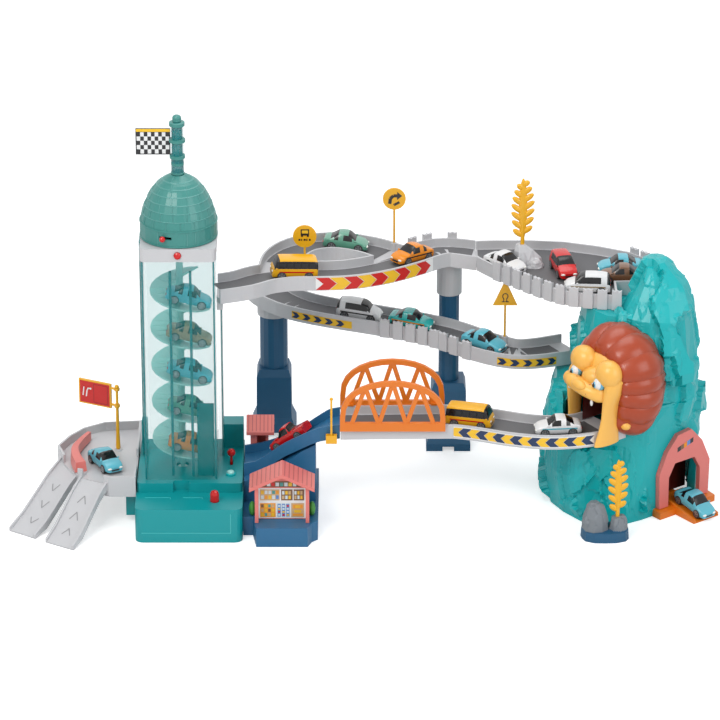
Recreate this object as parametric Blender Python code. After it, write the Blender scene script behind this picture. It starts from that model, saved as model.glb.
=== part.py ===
# Toy car track playset: a lift tower with a screw, three levels of track on two
# columns and a rock mountain, with a turning deck, a truss bridge and toy cars.
# Metres, +Z up, +Y to the back. The origin is on the tower's axis, at the ground.
import math

import bmesh
import bpy
from mathutils import Matrix, Vector

# Clearances and moulded walls
GAP = 0.0003
WALL = 0.0020
ROUND_SIDES = 24
PIN_SIDES = 12

# Tower base
BASE_LEFT = -0.045
BASE_RIGHT = 0.062
BASE_FRONT = -0.087
BASE_BACK = 0.062
LEDGE_HEIGHT = 0.036
BASE_HEIGHT = 0.046
RISER_Y = -0.046
FLOOR_THICK = 0.003
NOTCH_WIDTH = 0.016
NOTCH_DEPTH = 0.006

# Clear lift shell and its screw
SHELL_WIDTH = 0.0725
SHELL_DEPTH = 0.076
SHELL_TOP = 0.282
SHELL_WALL = 0.0016
SCREW_RADIUS = 0.030
SCREW_PITCH = 0.040
SCREW_BLADE = 0.0016
SCREW_LEFT_START = 0.2164
SCREW_BOTTOM = 0.056
SCREW_TOP = 0.252
SHAFT_RADIUS = 0.0035
RAIL_THICK = 0.0022
RAIL_DEPTH = 0.004
DOOR_WIDTH = 0.035
DOOR_HEIGHT = 0.030

# Cap, dome, beacon and flag
CAP_HEIGHT = 0.0135
CAP_OVERHANG = 0.0012
DOME_OVER = 0.0020
DOME_RADIUS = SHELL_WIDTH / 2 + DOME_OVER
DOME_CURVE = ((0.0, 0.985), (0.2, 0.93), (0.35, 0.87), (0.5, 0.79), (0.65, 0.69), (0.75, 0.60),
              (0.85, 0.48), (0.93, 0.34), (1.0, 0.20))
DOME_BAND = 0.018
DOME_HEIGHT = 0.064
DOME_WALL = 0.0022
BEACON_RADIUS = 0.0062
BEACON_HEIGHT = 0.061
BEACON_LOW_RING = 0.0195
BEACON_TOP_RING = 0.0500
BEACON_RING = 0.0012
FLAG_LENGTH = 0.034
FLAG_HEIGHT = 0.0270
FLAG_THICK = 0.0016
KNOB_RADIUS = 0.0030
BUTTON_RADIUS = 0.0045

# Buttons, lever and knob
BUTTON_PLACE = (0.034, -0.066, 0.0)
LEVER_PLACE = (0.049, 0.004)
LIFT_LANE_Y = 0.012
KNOB_X = -0.0145

# Track section
LANE_WIDTH = 0.044
LANE_WALL = 0.0022
WALL_HEIGHT = 0.009
SKIRT = 0.006
ROAD_THICK = 0.0025

# Track levels: the road's height where each level starts and how it falls
UPPER_START_Z = 0.231
UPPER_FALL = 0.0773
MIDDLE_START_Z = 0.152
MIDDLE_FALL = 0.0800
LOWER_START_Z = 0.102
DECK_ROAD_Z = 0.2109

# Castle wall teeth
TOOTH_WIDTH = 0.0098
TOOTH_THICK = 0.0022
TOOTH_HEIGHT = 0.021
TOOTH_SPACING = 0.0145

# Turning deck on the tower's left
TURN_ROAD_Z = 0.046
DECK_DEPTH = 0.013
RAMP_TOE = 0.0016

DIVERTER_PIVOT = (-0.1015, -0.0225)
POST_PLACE = (-0.067, 0.034)
SIGN_POST_RADIUS = 0.0014
SIGN_BOARD_LOW = 0.0915
SIGN_BOARD_HIGH = 0.1180
SIGN_WIDTH = 0.037
SIGN_ARM = 0.0065
SIGN_RING_RISE = 0.0030
SIGN_RING_HEIGHT = 0.0025
SIGN_TURN = -26

# Columns
COLUMN_FOOT = 0.046
COLUMN_WAIST = 0.036
LEFT_COLUMN = (0.089, 0.189)
RIGHT_COLUMN = (0.271, 0.154)

# Station next to the tower
STATION_LEFT = BASE_RIGHT + GAP
STATION_RIGHT = 0.137
STATION_FRONT = -0.090

# Bridge
BRIDGE_LEFT = 0.159
BRIDGE_LENGTH = 0.105
TRUSS_THICK = 0.0042
TRUSS_RISE = 0.054
TRUSS_BAR = 0.0052
BARRIER_X = 0.1505

# Cars
CAR_LENGTH = 0.046
CAR_WIDTH = 0.020
CAR_HEIGHT = 0.0185
WHEEL_RADIUS = 0.0046
WHEEL_WIDTH = 0.0036
WHEEL_PLACE = 0.30

# Mountain
MOUNTAIN_WALL = 0.004
MOUNTAIN_FACETS = 22

COLOURS = {
    "teal": (0.02, 0.42, 0.46, 1.0),
    "dome_green": (0.11, 0.36, 0.34, 1.0),
    "mint": (0.60, 0.88, 0.84, 1.0),
    "clear_teal": (0.35, 0.78, 0.74, 0.35),
    "light_grey": (0.62, 0.62, 0.63, 1.0),
    "navy": (0.03, 0.13, 0.24, 1.0),
    "pink": (0.80, 0.32, 0.30, 1.0),
    "orange": (0.85, 0.26, 0.01, 1.0),
    "yellow": (0.90, 0.52, 0.03, 1.0),
    "red": (0.75, 0.02, 0.02, 1.0),
    "mane": (0.38, 0.06, 0.01, 1.0),
    "face": (0.88, 0.55, 0.16, 1.0),
    "white": (0.85, 0.85, 0.85, 1.0),
    "sky": (0.25, 0.62, 0.72, 1.0),
    "sand": (0.52, 0.40, 0.22, 1.0),
    "green": (0.12, 0.42, 0.26, 1.0),
    "bus_yellow": (0.90, 0.55, 0.05, 1.0),
    "dark": (0.03, 0.03, 0.04, 1.0),
    "black_white": (0.30, 0.30, 0.30, 1.0),
}


# Scene and materials


def clear_scene():
    """Remove every object of the open file."""
    for old in list(bpy.data.objects):
        bpy.data.objects.remove(old, do_unlink=True)


def plastic(colour_name):
    """The moulded plastic of one colour, made once."""
    found = bpy.data.materials.get(colour_name)
    if found:
        return found
    colour = COLOURS[colour_name]
    made = bpy.data.materials.new(colour_name)
    made.use_nodes = True
    shader = made.node_tree.nodes["Principled BSDF"]
    shader.inputs["Base Color"].default_value = colour
    shader.inputs["Roughness"].default_value = 0.35
    shader.inputs["Metallic"].default_value = 0.0
    shader.inputs["Alpha"].default_value = colour[3]
    return made


# Shape lists: each shape is a list of points and a list of faces


def merged(shapes):
    """Several shapes as one list of points and faces."""
    points = []
    faces = []
    for shape_points, shape_faces in shapes:
        start = len(points)
        points.extend(shape_points)
        faces.extend([tuple(start + i for i in face) for face in shape_faces])
    return points, faces


def loft(rings, looped=False):
    """Join rings of equal count; the ends are capped unless it is looped."""
    count = len(rings[0])
    points = [point for ring in rings for point in ring]
    faces = []
    total = len(rings)
    last = total if looped else total - 1
    for level in range(last):
        low = level * count
        high = ((level + 1) % total) * count
        for i in range(count):
            j = (i + 1) % count
            faces.append((low + i, low + j, high + j, high + i))
    if not looped:
        faces.append(tuple(range(count)))
        faces.append(tuple((total - 1) * count + i for i in range(count)))
    return points, faces


def box(low, high):
    """A box between two corners."""
    return prism([(low[0], low[1]), (high[0], low[1]), (high[0], high[1]), (low[0], high[1])],
                 low[2], high[2])


def prism(outline, bottom, top):
    """An upright prism over an outline of (x, y) points."""
    return loft([[(x, y, bottom) for x, y in outline], [(x, y, top) for x, y in outline]])


def rounded(x0, y0, x1, y1, radius, steps=4):
    """A rectangle's outline with round corners."""
    corners = ((x1 - radius, y1 - radius, 0), (x0 + radius, y1 - radius, 90),
               (x0 + radius, y0 + radius, 180), (x1 - radius, y0 + radius, 270))
    outline = []
    for cx, cy, start in corners:
        for step in range(steps + 1):
            angle = math.radians(start + 90 * step / steps)
            outline.append((cx + radius * math.cos(angle), cy + radius * math.sin(angle)))
    return outline


def ring_points(radius, height, centre=(0, 0), sides=ROUND_SIDES, turn=0.0):
    """A level circle of points."""
    made = []
    for i in range(sides):
        angle = turn + 2 * math.pi * i / sides
        made.append((centre[0] + radius * math.cos(angle), centre[1] + radius * math.sin(angle), height))
    return made


def turned(profile, centre=(0, 0), sides=ROUND_SIDES):
    """Turn a closed (radius, height) profile that stays off the axis."""
    rings = []
    for i in range(sides):
        angle = 2 * math.pi * i / sides
        rings.append([(centre[0] + r * math.cos(angle), centre[1] + r * math.sin(angle), z)
                      for r, z in profile])
    return loft(rings, looped=True)


def stacked(profile, centre=(0, 0), sides=ROUND_SIDES, turn=0.0):
    """A solid stack of level circles from (radius, height) pairs."""
    return loft([ring_points(r, z, centre, sides, turn) for r, z in profile])


def ball(centre, radii, sides=12, levels=7):
    """A faceted ellipsoid with small flat poles."""
    rings = []
    for level in range(levels):
        tilt = math.pi * (level + 0.5) / levels - math.pi / 2
        spread = math.cos(tilt)
        rings.append([(centre[0] + radii[0] * spread * math.cos(2 * math.pi * i / sides),
                       centre[1] + radii[1] * spread * math.sin(2 * math.pi * i / sides),
                       centre[2] + radii[2] * math.sin(tilt)) for i in range(sides)])
    return loft(rings)


def placed(shape, matrix):
    """A shape moved by a matrix."""
    points, faces = shape
    return [tuple(matrix @ Vector(point)) for point in points], faces


def along(axis, shape, place):
    """Turn a shape's +Z to an axis and move it to a place."""
    turn = Vector((0, 0, 1)).rotation_difference(Vector(axis)).to_matrix().to_4x4()
    return placed(shape, Matrix.Translation(Vector(place)) @ turn)


# Objects


def solid(name, shape, colour_name, origin=(0, 0, 0), smooth_angle=None):
    """Make one closed object with its origin at a chosen place."""
    points, faces = shape
    start = Vector(origin)
    mesh = bpy.data.meshes.new(name)
    mesh.from_pydata([tuple(Vector(point) - start) for point in points], [], faces)
    work = bmesh.new()
    work.from_mesh(mesh)
    bmesh.ops.recalc_face_normals(work, faces=work.faces)
    work.to_mesh(mesh)
    work.free()
    made = bpy.data.objects.new(name, mesh)
    made.location = start
    bpy.context.collection.objects.link(made)
    mesh.materials.append(plastic(colour_name))
    if smooth_angle:
        mesh.shade_smooth()
        mesh.set_sharp_from_angle(angle=math.radians(smooth_angle))
    return made


def helper(name, shape):
    """A shape that only cuts or adds to another one."""
    made = solid(name, shape, "dark")
    made.hide_render = True
    made.display_type = 'WIRE'
    return made


def combine(target, shape, operation, label):
    """Cut a shape from the target, or add it."""
    tool = helper("tool_" + target.name + "_" + label, shape)
    change = target.modifiers.new(label, 'BOOLEAN')
    change.operation = operation
    change.solver = 'EXACT'
    change.object = tool
    return target


def cut(target, shape, label):
    """Cut a shape away."""
    return combine(target, shape, 'DIFFERENCE', label)


def add(target, shape, label):
    """Add a shape that touches or meets the target."""
    return combine(target, shape, 'UNION', label)


# Track sweeps


def smooth_path(points, per_span=4):
    """A smooth curve through chosen points, as a list of vectors."""
    knots = [Vector(point) for point in points]
    ends = [knots[0] * 2 - knots[1]] + knots + [knots[-1] * 2 - knots[-2]]
    curve = []
    for i in range(1, len(ends) - 2):
        a, b, c, d = ends[i - 1], ends[i], ends[i + 1], ends[i + 2]
        for step in range(per_span):
            t = step / per_span
            curve.append(0.5 * ((2 * b) + (c - a) * t + (2 * a - 5 * b + 4 * c - d) * t ** 2
                                + (3 * b - a - 3 * c + d) * t ** 3))
    curve.append(knots[-1])
    return curve


def sideways(path, index):
    """The level direction to the left of a path at one point."""
    before = path[max(index - 1, 0)]
    after = path[min(index + 1, len(path) - 1)]
    run = Vector((after.x - before.x, after.y - before.y, 0)).normalized()
    return Vector((-run.y, run.x, 0))


def swept(path, section):
    """Sweep an upright section of (side, height) points along a path."""
    rings = []
    for index, point in enumerate(path):
        left = sideways(path, index)
        rings.append([tuple(point + left * side + Vector((0, 0, height))) for side, height in section])
    return loft(rings)


def lane_section(width=LANE_WIDTH):
    """The H-shaped section of a lane, with its road at height 0."""
    half = width / 2
    inner = half - LANE_WALL
    return [(half, -SKIRT), (half, WALL_HEIGHT), (inner, WALL_HEIGHT), (inner, 0),
            (-inner, 0), (-inner, WALL_HEIGHT), (-half, WALL_HEIGHT), (-half, -SKIRT),
            (-inner, -SKIRT), (-inner, -ROAD_THICK), (inner, -ROAD_THICK), (inner, -SKIRT)]


def block_section(width=LANE_WIDTH):
    """The full block of a lane, before its channel is cut."""
    half = width / 2
    return [(half, -SKIRT), (half, WALL_HEIGHT), (-half, WALL_HEIGHT), (-half, -SKIRT)]


def channel_section(width=LANE_WIDTH, over=0.002):
    """The open space above a lane's road."""
    inner = width / 2 - LANE_WALL
    return [(inner, 0), (inner, WALL_HEIGHT + over), (-inner, WALL_HEIGHT + over), (-inner, 0)]


def tooth(place, out, bottom, height, width=TOOTH_WIDTH):
    """One notched wall tooth that stands against a lane's outer face."""
    side = Vector((-out.y, out.x, 0))
    half = width / 2
    notch = width / 8
    profile = [(-half, 0), (half, 0)]
    for step in range(5):
        x = half - step * width / 4
        profile.append((x, height - (notch if step % 2 else 0)))
    near = [tuple(place + side * s + Vector((0, 0, bottom + h))) for s, h in profile]
    far = [tuple(Vector(point) + out * (TOOTH_THICK + 0.0002)) for point in near]
    near = [tuple(Vector(point) - out * 0.0010) for point in near]
    return loft([near, far])


def teeth_along(path, side, bottom, height, offset=LANE_WIDTH / 2):
    """Teeth at an even spacing along one side of a path."""
    made = []
    travelled = 0.0
    due = TOOTH_SPACING / 2
    for index in range(1, len(path)):
        step = (path[index] - path[index - 1]).length
        while travelled + step >= due:
            share = (due - travelled) / step
            point = path[index - 1].lerp(path[index], share)
            left = sideways([path[index - 1], path[index]], 1) * side
            made.append(tooth(point + left * offset, left, bottom, height))
            due += TOOTH_SPACING
        travelled += step
    return made


# Tower


def tower_base():
    """The teal base with its ledge, its step and its hollow underside."""
    ledge = prism(rounded(BASE_LEFT, BASE_FRONT, BASE_RIGHT, BASE_BACK, 0.008), 0.0, LEDGE_HEIGHT)
    base = solid("tower_base", ledge, "teal", smooth_angle=40)
    step = prism(rounded(BASE_LEFT + 0.0008, RISER_Y, BASE_RIGHT - 0.0008, BASE_BACK - 0.0008, 0.003),
                 LEDGE_HEIGHT - 0.001, BASE_HEIGHT)
    add(base, step, "step")
    wall_top = BASE_HEIGHT + 0.026
    back_wall = box((SHELL_WIDTH / 2 + 0.004, BASE_BACK - 0.022, BASE_HEIGHT - 0.001),
                    (BASE_RIGHT - 0.0016, BASE_BACK - 0.0016, wall_top))
    add(base, back_wall, "back_wall")
    tab = box((BASE_LEFT + 0.0016, BASE_BACK - 0.012, BASE_HEIGHT - 0.001),
              (-SHELL_WIDTH / 2 - 0.0012, BASE_BACK - 0.003, wall_top))
    add(base, tab, "tab")
    bracket = box((-0.056, -0.040, 0.008), (BASE_LEFT + 0.0001, -0.010, TURN_ROAD_Z - DECK_DEPTH - GAP))
    add(base, bracket, "deck_bracket")
    inner = WALL * 1.2
    hollow = box((BASE_LEFT + inner, BASE_FRONT + inner, -0.001),
                 (BASE_RIGHT - inner, BASE_BACK - inner, LEDGE_HEIGHT - inner))
    cut(base, hollow, "hollow")
    notch = box((-NOTCH_WIDTH / 2, RISER_Y - 0.001, LEDGE_HEIGHT + 0.0001),
                (NOTCH_WIDTH / 2, RISER_Y + NOTCH_DEPTH, BASE_HEIGHT + 0.001))
    cut(base, notch, "notch")
    well = along((0, 0, 1), stacked([(BUTTON_RADIUS + GAP, LEDGE_HEIGHT - 0.010),
                                     (BUTTON_RADIUS + GAP, LEDGE_HEIGHT + 0.002)]), BUTTON_PLACE)
    cut(base, well, "button_well")
    bore = stacked([(SHAFT_RADIUS + 0.003, LEDGE_HEIGHT - 0.010), (SHAFT_RADIUS + 0.003, BASE_HEIGHT + 0.001)])
    cut(base, bore, "shaft_bore")
    cut(base, box((LEVER_PLACE[0] - 0.0018, LEVER_PLACE[1] - 0.006, BASE_HEIGHT - 0.004),
                  (LEVER_PLACE[0] + 0.0018, LEVER_PLACE[1] + 0.006, BASE_HEIGHT + 0.001)), "lever_slot")
    return base


def base_floor():
    """The screwed bottom plate, flush with the base's lower rim."""
    inner = WALL * 1.2 + GAP
    plate = box((BASE_LEFT + inner, BASE_FRONT + inner, 0.0),
                (BASE_RIGHT - inner, BASE_BACK - inner, FLOOR_THICK))
    return solid("base_floor", plate, "dark")


def drive_unit():
    """The motor and its gear case on the floor, with the output collar."""
    floor = FLOOR_THICK + GAP
    case_top = LEDGE_HEIGHT - WALL * 1.2 - 0.004
    unit = solid("drive_unit", box((-0.016, -0.016, floor), (0.016, 0.016, case_top)), "white",
                 smooth_angle=40)
    add(unit, along((0, -1, 0), stacked([(0.010, 0), (0.010, 0.026)]), (0, -0.0155, floor + 0.0105)), "motor")
    add(unit, stacked([(SHAFT_RADIUS + 0.0016, case_top - 0.001), (SHAFT_RADIUS + 0.0016, BASE_HEIGHT - 0.002)]),
        "collar")
    cut(unit, stacked([(SHAFT_RADIUS * 0.6 + GAP, case_top + 0.001), (SHAFT_RADIUS * 0.6 + GAP, BASE_HEIGHT)],
                      sides=PIN_SIDES), "socket")
    return unit


def lift_shell():
    """The clear square tower with rails inside and a doorway at each track."""
    half_w = SHELL_WIDTH / 2
    half_d = SHELL_DEPTH / 2
    bottom = BASE_HEIGHT + GAP
    rings = [[(x, y, bottom) for x, y in rounded(-half_w, -half_d, half_w, half_d, 0.003, 2)],
             [(x, y, SHELL_TOP) for x, y in rounded(-half_w, -half_d, half_w, half_d, 0.003, 2)]]
    shell = solid("lift_shell", loft(rings), "clear_teal")
    inner = SHELL_WALL
    cut(shell, prism(rounded(-half_w + inner, -half_d + inner, half_w - inner, half_d - inner, 0.002, 2),
                     bottom - 0.001, SHELL_TOP + 0.001), "inside")
    rails = []
    for x in (-0.008, 0.012):
        rails.append(box((x - RAIL_THICK / 2, -half_d + inner - 0.0004, bottom + 0.004),
                         (x + RAIL_THICK / 2, -half_d + inner + RAIL_DEPTH, SHELL_TOP - 0.012)))
    add(shell, merged(rails), "rails")
    rib_top = UPPER_START_Z - SKIRT - 0.0105
    rib = box((half_w - 0.0006, half_d - 0.020, bottom), (half_w + 0.0055, half_d - 0.001, rib_top))
    left_rib = box((-half_w - 0.005, half_d - 0.020, bottom), (-half_w + 0.0006, half_d - 0.001, SHELL_TOP))
    add(shell, merged([rib, left_rib]), "ribs")
    side_y = DOOR_WIDTH / 2
    exit_road = UPPER_START_Z
    doors = [box((half_w - 0.004, LIFT_LANE_Y - side_y, exit_road - 0.001),
                 (half_w + 0.004, LIFT_LANE_Y + side_y, exit_road + DOOR_HEIGHT)),
             box((half_w - 0.004, -side_y, bottom + 0.001),
                 (half_w + 0.004, side_y, bottom + DOOR_HEIGHT)),
             box((-half_w - 0.004, -side_y, bottom + 0.001),
                 (-half_w + 0.004, side_y, bottom + DOOR_HEIGHT))]
    cut(shell, merged(doors), "doors")
    return shell


def screw_height(x, y):
    """How far the blade's top at a place lies below its height over +X."""
    return -SCREW_PITCH * math.atan2(y, x) / (2 * math.pi)


def lift_screw():
    """The left-handed lifting screw on its shaft."""
    steps_per_turn = 20
    turns = (SCREW_TOP - SCREW_BOTTOM - SCREW_BLADE) / SCREW_PITCH
    total = int(turns * steps_per_turn)
    phase = SCREW_LEFT_START % SCREW_PITCH
    start_turn = math.ceil((SCREW_BOTTOM - phase) / SCREW_PITCH * steps_per_turn)
    rings = []
    for step in range(total + 1):
        turn = (start_turn + step) / steps_per_turn
        angle = -2 * math.pi * turn
        top = phase + SCREW_PITCH * turn + SCREW_BLADE
        ring = []
        for radius, height in ((SHAFT_RADIUS * 0.6, top), (SCREW_RADIUS, top),
                               (SCREW_RADIUS, top - SCREW_BLADE), (SHAFT_RADIUS * 0.6, top - SCREW_BLADE)):
            ring.append((radius * math.cos(angle), radius * math.sin(angle), height))
        rings.append(ring)
    screw = solid("lift_screw", loft(rings), "mint", smooth_angle=30)
    pin = SHAFT_RADIUS * 0.6
    shaft_low = BASE_HEIGHT + 0.0015
    shaft_high = SHELL_TOP - 0.004
    shaft = stacked([(pin, LEDGE_HEIGHT), (pin, shaft_low), (SHAFT_RADIUS, shaft_low + 0.0005),
                     (SHAFT_RADIUS, shaft_high), (pin, shaft_high + 0.0005), (pin, SHELL_TOP + 0.004)],
                    sides=PIN_SIDES)
    add(screw, shaft, "shaft")
    return screw


def tower_cap():
    """The light grey cap over the shell, with the screw's upper bearing."""
    half_w = SHELL_WIDTH / 2 + CAP_OVERHANG
    half_d = SHELL_DEPTH / 2 + CAP_OVERHANG
    low = SHELL_TOP + GAP
    high = low + CAP_HEIGHT
    cap = solid("tower_cap", prism(rounded(-half_w, -half_d, half_w, half_d, 0.005), low, high),
                "light_grey", smooth_angle=40)
    inset = 0.004
    cut(cap, box((-half_w + inset, -half_d + inset, low - 0.001), (half_w - inset, half_d - inset, high - WALL)),
        "inside")
    boss_radius = SHAFT_RADIUS + 0.002
    add(cap, stacked([(boss_radius, low), (boss_radius, high - WALL / 2)]), "boss")
    cut(cap, stacked([(SHAFT_RADIUS * 0.6 + GAP, low - 0.001), (SHAFT_RADIUS * 0.6 + GAP, high - WALL)],
                     sides=PIN_SIDES), "bearing")
    cut(cap, along((0, 1, 0), stacked([(BUTTON_RADIUS * 0.8 + GAP, 0), (BUTTON_RADIUS * 0.8 + GAP, 0.008)],
                                      sides=PIN_SIDES), (0, -half_d - 0.001, low + CAP_HEIGHT / 2)),
        "button_hole")
    return cap


def cap_button():
    """The red button in the cap's front face."""
    front = -SHELL_DEPTH / 2 - CAP_OVERHANG
    middle = SHELL_TOP + GAP + CAP_HEIGHT / 2
    radius = BUTTON_RADIUS * 0.8
    shape = along((0, 1, 0), stacked([(radius * 0.6, 0), (radius, 0.001), (radius, 0.0075)], sides=PIN_SIDES),
                  (0, front - 0.0025, middle))
    return solid("cap_button", shape, "red", (0, front, middle), 40)


def dome_profile(outset):
    """The dome's pointed outline from its band to the beacon, set out or in."""
    points = []
    for share, wide in DOME_CURVE:
        radius = max(DOME_RADIUS * wide, BEACON_RADIUS + 0.0012)
        points.append((radius - outset, DOME_BAND + (DOME_HEIGHT - DOME_BAND) * share))
    return points


def dome():
    """The ogive dome with its lower band, open underneath."""
    low = SHELL_TOP + GAP + CAP_HEIGHT + GAP
    outer = [(DOME_RADIUS, 0.0), (DOME_RADIUS, DOME_BAND)] + dome_profile(0)
    inner = [(r, z - DOME_WALL) for r, z in dome_profile(DOME_WALL)]
    inner = [(DOME_RADIUS - DOME_WALL, 0.0)] + inner
    top = [(BEACON_RADIUS * 0.5, DOME_HEIGHT), (BEACON_RADIUS * 0.5, DOME_HEIGHT - DOME_WALL)]
    profile = outer + top + inner[::-1]
    shape = turned([(r, low + z) for r, z in profile], sides=32)
    made = solid("dome", shape, "dome_green", smooth_angle=30)
    slot = box((KNOB_X - 0.003, -DOME_RADIUS - 0.002, low + 0.0085), (KNOB_X + 0.009, -DOME_RADIUS + 0.0085,
                                                                    low + 0.0115))
    cut(made, slot, "slot")
    return made


def dome_knob():
    """The red knob that slides round in the band's slot."""
    low = SHELL_TOP + CAP_HEIGHT + 2 * GAP
    face = math.sqrt(DOME_RADIUS ** 2 - KNOB_X ** 2)
    stem = along((0, 1, 0), stacked([(0.0011, 0), (0.0011, 0.0065)], sides=8),
                 (KNOB_X, -face - 0.0040, low + 0.010))
    made = solid("dome_knob", ball((KNOB_X, -face - 0.0035, low + 0.010), (KNOB_RADIUS,) * 3), "red",
                 (0, 0, low + 0.010), 60)
    add(made, stem, "stem")
    return made


def beacon_rod():
    """The clear rod on the dome with its rings and its round tip."""
    low = SHELL_TOP + CAP_HEIGHT + 2 * GAP + DOME_HEIGHT + GAP
    ring = BEACON_RADIUS + BEACON_RING
    slim = BEACON_RADIUS * 0.86
    profile = [(BEACON_RADIUS, 0), (BEACON_RADIUS, BEACON_LOW_RING - 0.0030), (ring, BEACON_LOW_RING - 0.0025),
               (ring, BEACON_LOW_RING), (slim, BEACON_LOW_RING + 0.0005), (slim, BEACON_TOP_RING),
               (ring, BEACON_TOP_RING + 0.0006), (ring, BEACON_TOP_RING + 0.0035),
               (BEACON_RADIUS * 0.6, BEACON_TOP_RING + 0.0042), (BEACON_RADIUS * 0.6, BEACON_HEIGHT - 0.0020),
               (BEACON_RADIUS * 0.3, BEACON_HEIGHT)]
    return solid("beacon_rod", stacked([(r, low + z) for r, z in profile], sides=20), "clear_teal",
                 smooth_angle=40)


def flag():
    """The chequered flag on its collar, between the rod's two rings."""
    low = SHELL_TOP + CAP_HEIGHT + 2 * GAP + DOME_HEIGHT + GAP + BEACON_LOW_RING + GAP * 2
    inner = BEACON_RADIUS * 0.86 + GAP
    collar = turned([(inner, low), (inner + 0.0016, low), (inner + 0.0016, low + FLAG_HEIGHT),
                     (inner, low + FLAG_HEIGHT)], sides=20)
    made = solid("flag", collar, "black_white", (0, 0, low), 40)
    panel = box((-inner - 0.0010 - FLAG_LENGTH, -FLAG_THICK / 2, low), (-inner - 0.0010, FLAG_THICK / 2,
                                                                       low + FLAG_HEIGHT))
    add(made, panel, "panel")
    return made


def base_button():
    """The red push button in the ledge."""
    low = LEDGE_HEIGHT - 0.0095
    shape = stacked([(BUTTON_RADIUS * 0.8, low), (BUTTON_RADIUS * 0.8, LEDGE_HEIGHT),
                     (BUTTON_RADIUS, LEDGE_HEIGHT + 0.0004), (BUTTON_RADIUS, LEDGE_HEIGHT + 0.0075),
                     (BUTTON_RADIUS * 0.75, LEDGE_HEIGHT + 0.0105), (BUTTON_RADIUS * 0.3, LEDGE_HEIGHT + 0.0115)],
                    BUTTON_PLACE[:2], 16)
    return solid("base_button", shape, "red", (BUTTON_PLACE[0], BUTTON_PLACE[1], LEDGE_HEIGHT), 40)


def base_lever():
    """The lever with a ball end that stands in its slot in the base."""
    x, y = LEVER_PLACE
    pivot = (x, y, BASE_HEIGHT - 0.0025)
    made = solid("base_lever", ball((x, y, BASE_HEIGHT + 0.011), (0.0042,) * 3), "red", pivot, 60)
    add(made, stacked([(0.0013, BASE_HEIGHT - 0.0035), (0.0013, BASE_HEIGHT + 0.009)], (x, y), 8), "stem")
    return made


# Turning deck


DECK_OUTLINE = ((-0.0455, -0.050), (-0.072, -0.050), (-0.104, -0.030), (-0.120, 0.000), (-0.128, 0.026),
                (-0.118, 0.050), (-0.104, 0.070), (-0.083, 0.084), (-0.0455, 0.088))


def ramp(top_left, top_right, toe_left, toe_right, road_z):
    """A wedge from a deck edge down to the ground, with raised side rims."""
    under = 0.006
    top = [Vector((*top_left, road_z)), Vector((*top_right, road_z))]
    toe = [Vector((*toe_left, RAMP_TOE)), Vector((*toe_right, RAMP_TOE))]
    points = []
    for share in (0.0, 0.25, 0.5, 0.75, 1.0):
        a = top[0].lerp(toe[0], share)
        b = top[1].lerp(toe[1], share)
        ease = road_z * (math.cos(share * math.pi) * 0.5 + 0.5)
        height = RAMP_TOE + (ease * 0.45 + (a.z - RAMP_TOE) * 0.55)
        side = (b - a).normalized() * 0.0022
        rim = 0.003
        low = max(height - under, 0.0)
        points.append([(a.x, a.y, low), (a.x, a.y, height + rim),
                       (a.x + side.x, a.y + side.y, height + rim), (a.x + side.x, a.y + side.y, height),
                       (b.x - side.x, b.y - side.y, height), (b.x - side.x, b.y - side.y, height + rim),
                       (b.x, b.y, height + rim), (b.x, b.y, low)])
    return loft(points)


def inset_outline(outline, amount):
    """Move an outline's points towards its middle by an amount."""
    count = len(outline)
    area = sum(outline[i - 1][0] * outline[i][1] - outline[i][0] * outline[i - 1][1] for i in range(count))
    inward = math.copysign(amount, area)
    made = []
    for i, (x, y) in enumerate(outline):
        before = Vector(outline[i - 1])
        after = Vector(outline[(i + 1) % count])
        run_in = (Vector((x, y)) - before).normalized()
        run_out = (after - Vector((x, y))).normalized()
        normal = Vector((-(run_in.y + run_out.y), run_in.x + run_out.x)).normalized()
        bend = max(normal.dot(Vector((-run_in.y, run_in.x))), 0.4)
        made.append((x + normal.x * inward / bend, y + normal.y * inward / bend))
    return made



def turn_deck():
    """The grey turning deck with its rim, its two ramps and the lever's post."""
    road = TURN_ROAD_Z
    made = solid("turn_deck", prism(DECK_OUTLINE, road - DECK_DEPTH, road + WALL_HEIGHT), "light_grey",
                 smooth_angle=30)
    hollow = inset_outline(DECK_OUTLINE, LANE_WALL)
    cut(made, prism(hollow, road, road + WALL_HEIGHT + 0.001), "road")
    cut(made, prism(hollow, road - 0.014, road - ROAD_THICK), "underside")
    cut(made, box((-0.050, -DOOR_WIDTH / 2, road), (-0.040, DOOR_WIDTH / 2, road + WALL_HEIGHT + 0.001)),
        "door")
    exit_ramp = ramp((-0.1235, 0.012), (-0.1010, -0.020), (-0.1725, -0.060), (-0.1450, -0.079), road)
    entry_ramp = ramp((-0.1004, -0.0289), (-0.0729, -0.0469), (-0.1345, -0.0865), (-0.1055, -0.1050), road)
    add(made, exit_ramp, "exit_ramp")
    add(made, entry_ramp, "entry_ramp")
    over = road + WALL_HEIGHT + 0.001
    cut(made, prism([(-0.1160, 0.006), (-0.0985, -0.019), (-0.1085, -0.027), (-0.1260, -0.002)], road, over),
        "exit_mouth")
    cut(made, prism([(-0.0960, -0.026), (-0.0755, -0.0415), (-0.0800, -0.0520), (-0.1015, -0.0360)], road,
                    over), "entry_mouth")
    post = (DIVERTER_PIVOT[0], DIVERTER_PIVOT[1])
    add(made, stacked([(0.0055, road - 0.016), (0.0055, road + 0.0015)], post, 12), "lever_post")
    cut(made, stacked([(0.0072, road + 0.0015), (0.0072, over)], post, 12), "lever_space")
    add(made, stacked([(0.0052, road - 0.001), (0.0038, road + 0.0016)], POST_PLACE, 16), "sign_boss")
    cut(made, stacked([(0.0016 + GAP, road - 0.001), (0.0016 + GAP, road + 0.003)], POST_PLACE, 12),
        "sign_hole")
    return made


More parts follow.
